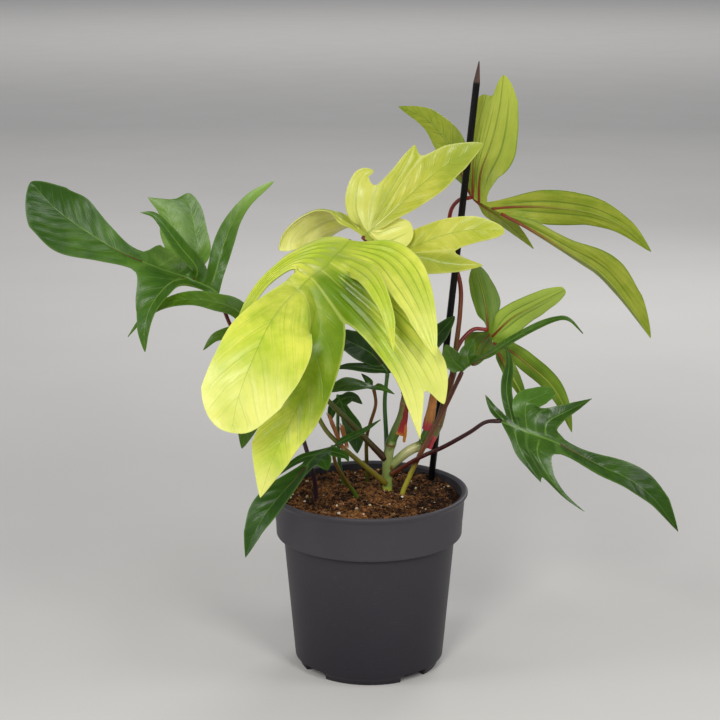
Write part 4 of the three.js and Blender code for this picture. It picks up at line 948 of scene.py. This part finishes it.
for name, (path, colours, thin) in PETIOLES.items():
    path = [[x, y, z, r * thin] for x, y, z, r in rows(path)]
    verts, faces, data = tube(path, max(40, 10 * len(path)), 20, stalk_shape)
    obj = make_mesh("stalk_" + name, verts, faces, {"rib": data})
    put(obj, stalk_material("stalk_" + name, colours), "petiole_" + name)


def shoot(path, swellings, steps, shares):
    """A length of stem with swollen nodes (place, rise); shares gives the colours it takes."""
    def shape(u, a):
        return 1 + 0.02 * np.cos(2 * a + 7 * u) + sum(rise * bell(u - at, 0.02) for at, rise in swellings)
    verts, faces, data = tube(rows(path), steps, 28, shape)
    scar = sum(bell(data[:, 2] - at, 0.009) for at, rise in swellings)
    data[:, 2] = np.interp(data[:, 2], (0, 1), shares)
    return verts, faces, data, scar


parts = [shoot(STEM, [(0.63, 0.12), (0.90, 0.08)], 180, (0, 0.5)),
         shoot(SHOOT, [(0.33, 0.12), (0.56, 0.08)], 150, (0.5, 1.0)),
         shoot(SPUR, [(0.12, 0.1)], 40, (0.31, 0.36))]
stem = make_mesh("stem_fine", *merge(parts), {"rib": gather(parts, 2), "scar": gather(parts, 3)})
put(stem, stalk_material("stem", STEM_COLOURS, 0.26, 0.5), "stem", slot="stem_green")


# ------------------------------------------------------------------ sheaths
def husk(strips, seed, steps=48, sides=16):
    """Torn papery strips, each part of a tube between two angles: (points, faces, (length, across, 1),
    share of the colours) for each."""
    r = np.random.default_rng(seed)
    parts = []
    for path, lo, hi, torn, reach in strips:
        curve = Curve(rows(path))
        a = np.radians(np.linspace(lo, hi, sides + 1))
        tear = 1 - torn * np.interp(np.arange(sides + 1), np.linspace(0, sides, 7), r.uniform(0, 1, 7))
        u = np.linspace(0, 1, steps + 1)[:, None] * tear
        c, t, rad = (f(u.ravel()).reshape(*u.shape, -1) for f in (curve.at, curve.tangent, curve.radius))
        front = unit(np.array([0, -1.0, 0]) + t * t[..., 1:2])
        out = front * np.cos(a)[:, None] + np.cross(t, front) * np.sin(a)[:, None]
        wave = 0.35 * noise((c + out * 3).reshape(-1, 3), 3.5, seed).reshape(*u.shape, 1)
        verts = np.vstack([(c + out * (rad + wave - depth)).reshape(-1, 3) for depth in (0, PAPER)])
        g = number(*u.shape)
        quads = net(g)[:, TURNED]
        rim = np.r_[g[:, 0], g[-1, 1:], g[-2::-1, -1], g[0, -2:0:-1]]
        after = np.roll(rim, -1)
        faces = np.vstack([quads, quads[:, ::-1] + g.size, np.c_[rim, after, after + g.size, rim + g.size]])
        at = faces.ravel() % g.size
        across = (a * rad[..., 0]).ravel()[at]
        parts.append((verts, faces.tolist(), np.c_[u.ravel()[at] * curve.length, across, 1 + 0 * across],
                      reach * u.ravel()[at]))
    return parts


for name, (strips, colours) in HUSKS.items():
    parts = husk(strips, len(name))
    obj = make_mesh("dry_sheath_" + name, *merge(parts), {"rib": gather(parts, 2), "share": gather(parts, 3)}, 40)
    put(obj, sheath_material("sheath_" + name, colours), "sheath_" + name)

# ------------------------------------------------------------------ stick
axis = unit(STICK.top - STICK.entry)
foot = STICK.entry - axis * STICK.buried
length = np.linalg.norm(STICK.top - foot)


def taper(u, a):
    """Straight up to the cone, then down to a small blunt tip."""
    left = (1 - u) * (length - 0.3) / STICK.point
    return min(1, (STICK.tip + (STICK.r - STICK.tip) * left) / STICK.r)


path = [[*(foot + axis * x), STICK.r] for x in (0, length * 0.5, length - 0.3)]
verts, faces, data = tube(path, steps=300, sides=28, shape=taper, cap=0.1)
stick = make_mesh("support_stick", verts, faces, {"rib": data})
put(stick, stick_material(length), "stake", slot="stake_dark")


# ------------------------------------------------------------------ pot
def around(r, z, *offsets):
    return [[r + dr, z + dz] for dr, dz in offsets]


def pot_profile():
    """The pot's section as [r, z], from the middle of the underside round to the inside."""
    P, w, h = POT, POT.wall, POT.height
    body = [[P.bodyLowR + (P.bodyTopR - P.bodyLowR) * k, P.bodyLowZ + (P.bodyTopZ - P.bodyLowZ) * k]
            for k in (0, 0.02, 0.1, 0.3, 0.55, 0.8, 1)]
    return [
        [0, 0], *around(P.discR, 0, (-0.6, 0), (0, 0.3), (1.5, P.channel)),
        *around(P.footR - w, 0, (-1, P.channel), (-0.5, 0.6), (-0.4, 0)),
        *around(P.footR, 0, (-0.5, 0), (0, 0.4), (0.7, 3), (1.9, 4.4)), *body,
        *around(P.bodyTopR, P.bodyTopZ, (0.1, 1.8), (0.6, 2.5)),
        *around(P.collarLowR, P.bodyTopZ, (-1.1, 2.8), (-0.3, 3.2), (0, 4), (0, 5)),
        [P.collarLowR + 0.3, P.collarLowZ + 3], [71.9, 122], *around(P.collarTopR, h, (0, -6), (0.5, -4.6)),
        *around(P.rimR, h, (-0.9, -3.4), (-0.1, -2.2), (0, -1.2), (-0.3, -0.4), (-1, 0), (-2, -0.1),
                (-2.9, -0.5)),
        *around(P.collarTopR - w, h, (-0.6, -1.6), (-0.4, -4)), [P.collarLowR - w, P.collarLowZ],
        *around(P.bodyTopR - w, P.bodyTopZ, (1, 1), (0, -1)), [P.bodyLowR - w, P.bodyLowZ + 3],
        [P.bodyLowR - w - 3, P.channel + P.floor], [0, P.channel + P.floor],
    ]


verts, faces = lathe(pot_profile(), 180)
# notches in the foot ring: its bottom edge is lifted there, and the foot of the wall above it
FOOT_LIFT, WALL_LIFT = 5.4, 6.8
z, radius = verts[:, 2], np.hypot(verts[:, 0], verts[:, 1])
angle = np.degrees(np.arctan2(verts[:, 1], verts[:, 0]))
for i in range(POT.notches):
    off = (angle - (i + 0.43) * 360 / POT.notches + 180) % 360 - 180
    notch = np.abs(off) < math.degrees(POT.notchWidth / 2 / POT.footR)
    z[notch & (z < 1) & (radius > POT.discR + 5)] = FOOT_LIFT
    skirt = notch & (z > 2.5) & (z < POT.bodyLowZ + 1) & (radius > POT.footR - 1)
    z[skirt] = np.maximum(z[skirt], WALL_LIFT)
pot = make_mesh("nursery_pot", verts, faces, angle=38)
cutters = []
for i in range(POT.notches):
    a, away = math.radians((i + 0.93) * 360 / POT.notches), POT.footR - 9
    verts, faces = lathe([[0, -3], [POT.holeR, -3], [POT.holeR, 12], [0, 12]], 24)
    cutters.append((verts + [away * math.cos(a), away * math.sin(a), 0], faces))
tool = make_mesh("drain_cutters", *merge(cutters))
cut = pot.modifiers.new("drains", "BOOLEAN")
cut.operation, cut.object, cut.solver = "DIFFERENCE", tool, "EXACT"
bpy.context.view_layer.update()
pot.data = bpy.data.meshes.new_from_object(pot.evaluated_get(bpy.context.evaluated_depsgraph_get()))
pot.modifiers.clear()
bpy.data.objects.remove(tool)
put(pot, pot_material(), "pot", slot="pot_black")


# ------------------------------------------------------------------ peat
def soil_height(x, y):
    """Height of the peat's surface at each place."""
    r = np.hypot(x, y)
    p = np.c_[x, y, 0 * x]
    mound = np.interp(r, [0, 9, 20, 34, 48, 63, 71], [4.3, 4.0, 3.1, 1.2, -0.4, 0.1, -1.0])
    rough = 1.5 * noise(p, 14, 1) + 1.1 * noise(p, 6, 2) + 0.8 * noise(p, 2.7, 3) + 0.45 * noise(p, 1.3, 4)
    heap = 7.0 * smooth((y + 4) / 60) + 2.5 * smooth((x - 20) / 50)
    heap += 1.4 * np.exp(-((x - 12) ** 2 + (y - 4) ** 2) / 200)
    return SOIL_LEVEL + mound + heap + rough * np.clip((71.5 - r) / 6, 0.35, 1)


def height_at(x, y):
    return soil_height(np.array([x]), np.array([y]))[0]


def strewn(r, spread):
    """A random place on the peat."""
    away, turn = spread * math.sqrt(r.random()), r.uniform(0, TURN)
    return away * math.cos(turn), away * math.sin(turn)


PEAT_RINGS, PEAT_SIDES, PEAT_R, PEAT_FOOT = 86, 250, 69.6, POT.bodyLowZ + 4
rings = np.array([circle(r, 0, PEAT_SIDES) for r in np.linspace(0, 1, PEAT_RINGS + 1)[1:] ** 0.85 * PEAT_R])
rings[..., 2] = [soil_height(*ring[:, :2].T) for ring in rings]
walls = [circle(r - POT.wall - 0.5, z, PEAT_SIDES) for r, z in (
    (POT.collarLowR, POT.collarLowZ), (POT.bodyTopR, POT.bodyTopZ - 1), (POT.bodyLowR, PEAT_FOOT))]
peat = make_mesh("peat", *skin(np.vstack([rings, walls]), [0, 0, height_at(0, 0)], [0, 0, PEAT_FOOT], flip=True))
put(peat, peat_material(), "soil", slot="soil_peat")


def ball():
    """Points and triangles of an icosahedron with each side split in four."""
    phi = (1 + 5 ** 0.5) / 2
    signs = ((-1, 1), (1, 1), (-1, -1), (1, -1))
    points = list(unit([np.roll([a, b * phi, 0], k) for k in range(3) for a, b in signs]))
    sides = rows("0 11 5, 0 5 1, 0 1 7, 0 7 10, 0 10 11, 1 5 9, 5 11 4, 11 10 2, 10 7 6, 7 1 8, 3 9 4,"
                 "3 4 2, 3 2 6, 3 6 8, 3 8 9, 4 9 5, 2 4 11, 6 2 10, 8 6 7, 9 8 1")
    middle, triangles = {}, []

    def half(i, j):
        key = (min(i, j), max(i, j))
        if key not in middle:
            middle[key] = len(points)
            points.append(unit(points[i] + points[j]))
        return middle[key]
    for side in sides:
        i, j, k = (int(x) for x in side)
        x, y, z = half(i, j), half(j, k), half(k, i)
        triangles += [[i, x, z], [j, y, x], [k, z, y], [x, y, z]]
    return np.array(points), triangles


def crumbs(name, count, sizes, flat, seed):
    """Small lumps strewn on the peat, as one mesh with a tint for each lump."""
    r = np.random.default_rng(seed)
    points, triangles = ball()
    parts, tint = [], []
    for _ in range(count):
        size = sizes[0] + (sizes[1] - sizes[0]) * r.random() ** 2.5
        shape = points * (1 + 0.21 * r.standard_normal((len(points), 1)).clip(-1.2, 1.2))
        shape = shape * [size, size * r.uniform(0.6, 1), size * flat * r.uniform(0.7, 1.2)]
        turn, tilt = r.uniform(0, TURN), r.uniform(-0.6, 0.6)
        shape = shape @ np.array(Euler((0, tilt, turn)).to_matrix()).T
        x, y = strewn(r, 68.0)
        parts.append((shape + [x, y, height_at(x, y) + size * flat * r.uniform(-0.2, 0.5)], triangles))
        tint += [r.uniform(0, 1)] * (3 * len(triangles))
    return make_mesh(name, *merge(parts), {"tint": tint})


for name, count, sizes, flat, seed, dark, light in (
        ("peat_crumbs", 5200, (0.45, 1.7), 0.75, 5, "#190d06", "#9a6638"),
        ("bark_bits", 150, (1.0, 2.8), 0.4, 8, "#3a2012", "#a87444"),
        ("pale_grit", 150, (0.5, 1.6), 0.8, 9, "#cdb68a", "#f4efe2")):
    put(crumbs(name, count, sizes, flat, seed), crumb_material(name, dark, light), None, slot="soil_peat")


def fibres(count, seed):
    """Short bent threads lying on the peat."""
    r = np.random.default_rng(seed)
    parts, tint = [], []
    for _ in range(count):
        (x, y), way = strewn(r, 66.0), r.uniform(0, TURN)
        bend, path, step = r.uniform(-0.5, 0.5), [], r.uniform(1.0, 3.2)
        while len(path) < 5 and math.hypot(x, y) <= 68.5:
            z = height_at(x, y) + 0.4 + r.uniform(0, 1.4)
            path.append([x, y, z, 0.09 + 0.09 * r.random()])
            x, y, way = x + step * math.cos(way), y + step * math.sin(way), way + bend + r.uniform(-0.3, 0.3)
        if len(path) > 2:
            parts.append(tube(path, steps=10, sides=5))
            tint += [r.random()] * len(parts[-1][2])
    return make_mesh("peat_fibres", *merge(parts), {"tint": tint})


put(fibres(620, 21), crumb_material("fibre", "#3a1f10", "#c08a52", 0.8), None, slot="soil_peat")

# ------------------------------------------------------------------ floor, light and camera
bpy.ops.mesh.primitive_plane_add(size=60, location=(0, 18, 0))
floor = bpy.context.object
floor.name = "floor"
m = Shade("floor", 0.2)
floor.data.materials.append(m.finish(m.mix(m.noise(m.place(), 0.004, 4), "#d6d3ce", "#dedbd7"), 0.85))


def area(name, place, target, size, watts, colour=(1, 1, 1)):
    """A soft light at a place that looks at the target."""
    light = bpy.data.lights.new(name, "AREA")
    light.shape, light.size, light.size_y, light.energy, light.color = "RECTANGLE", *size, watts, colour
    obj = bpy.data.objects.new(name, light)
    scene.collection.objects.link(obj)
    obj.location = place
    obj.rotation_euler = (Vector(target) - Vector(place)).to_track_quat("-Z", "Y").to_euler()


area("key", (-0.37, -1.40, 1.02), (0, -0.03, 0.27), (0.36, 0.42), 10, (1, 0.985, 0.96))
area("left", (-1.49, -0.43, 0.75), (0, -0.03, 0.27), (0.5, 0.5), 5.5)
area("right", (0.70, -1.25, 1.00), (0, -0.03, 0.22), (0.4, 0.4), 8)
area("side", (1.18, -0.35, 1.30), (0, -0.03, 0.27), (0.5, 0.5), 4)
area("rear", (0.6, 1.5, 1.2), (0, 0, 0.25), (0.9, 0.7), 7)
# the backdrop far behind
area("far", (0, 1.0, 3.0), (0, 5.0, 2.0), (2.0, 1.0), 70)
area("farther", (0, 6.0, 7.0), (0, 30.0, 0), (4.0, 2.0), 400)
world = bpy.data.worlds.new("world")
scene.world = world
world.use_nodes = True
sky = world.node_tree.nodes["Background"].inputs
sky[0].default_value, sky[1].default_value = (0.9, 0.93, 1, 1), 0.27

camera = bpy.data.cameras.new("camera")
camera.lens, camera.sensor_width, camera.clip_end = 89.35, 36, 200
eye = bpy.data.objects.new("camera", camera)
scene.collection.objects.link(eye)
eye.location, eye.rotation_euler = (-0.007, -1.300, 0.548), (math.radians(76.6), 0, 0)
scene.camera = eye
scene.view_settings.view_transform = "Standard"
scene.view_settings.look = "None"
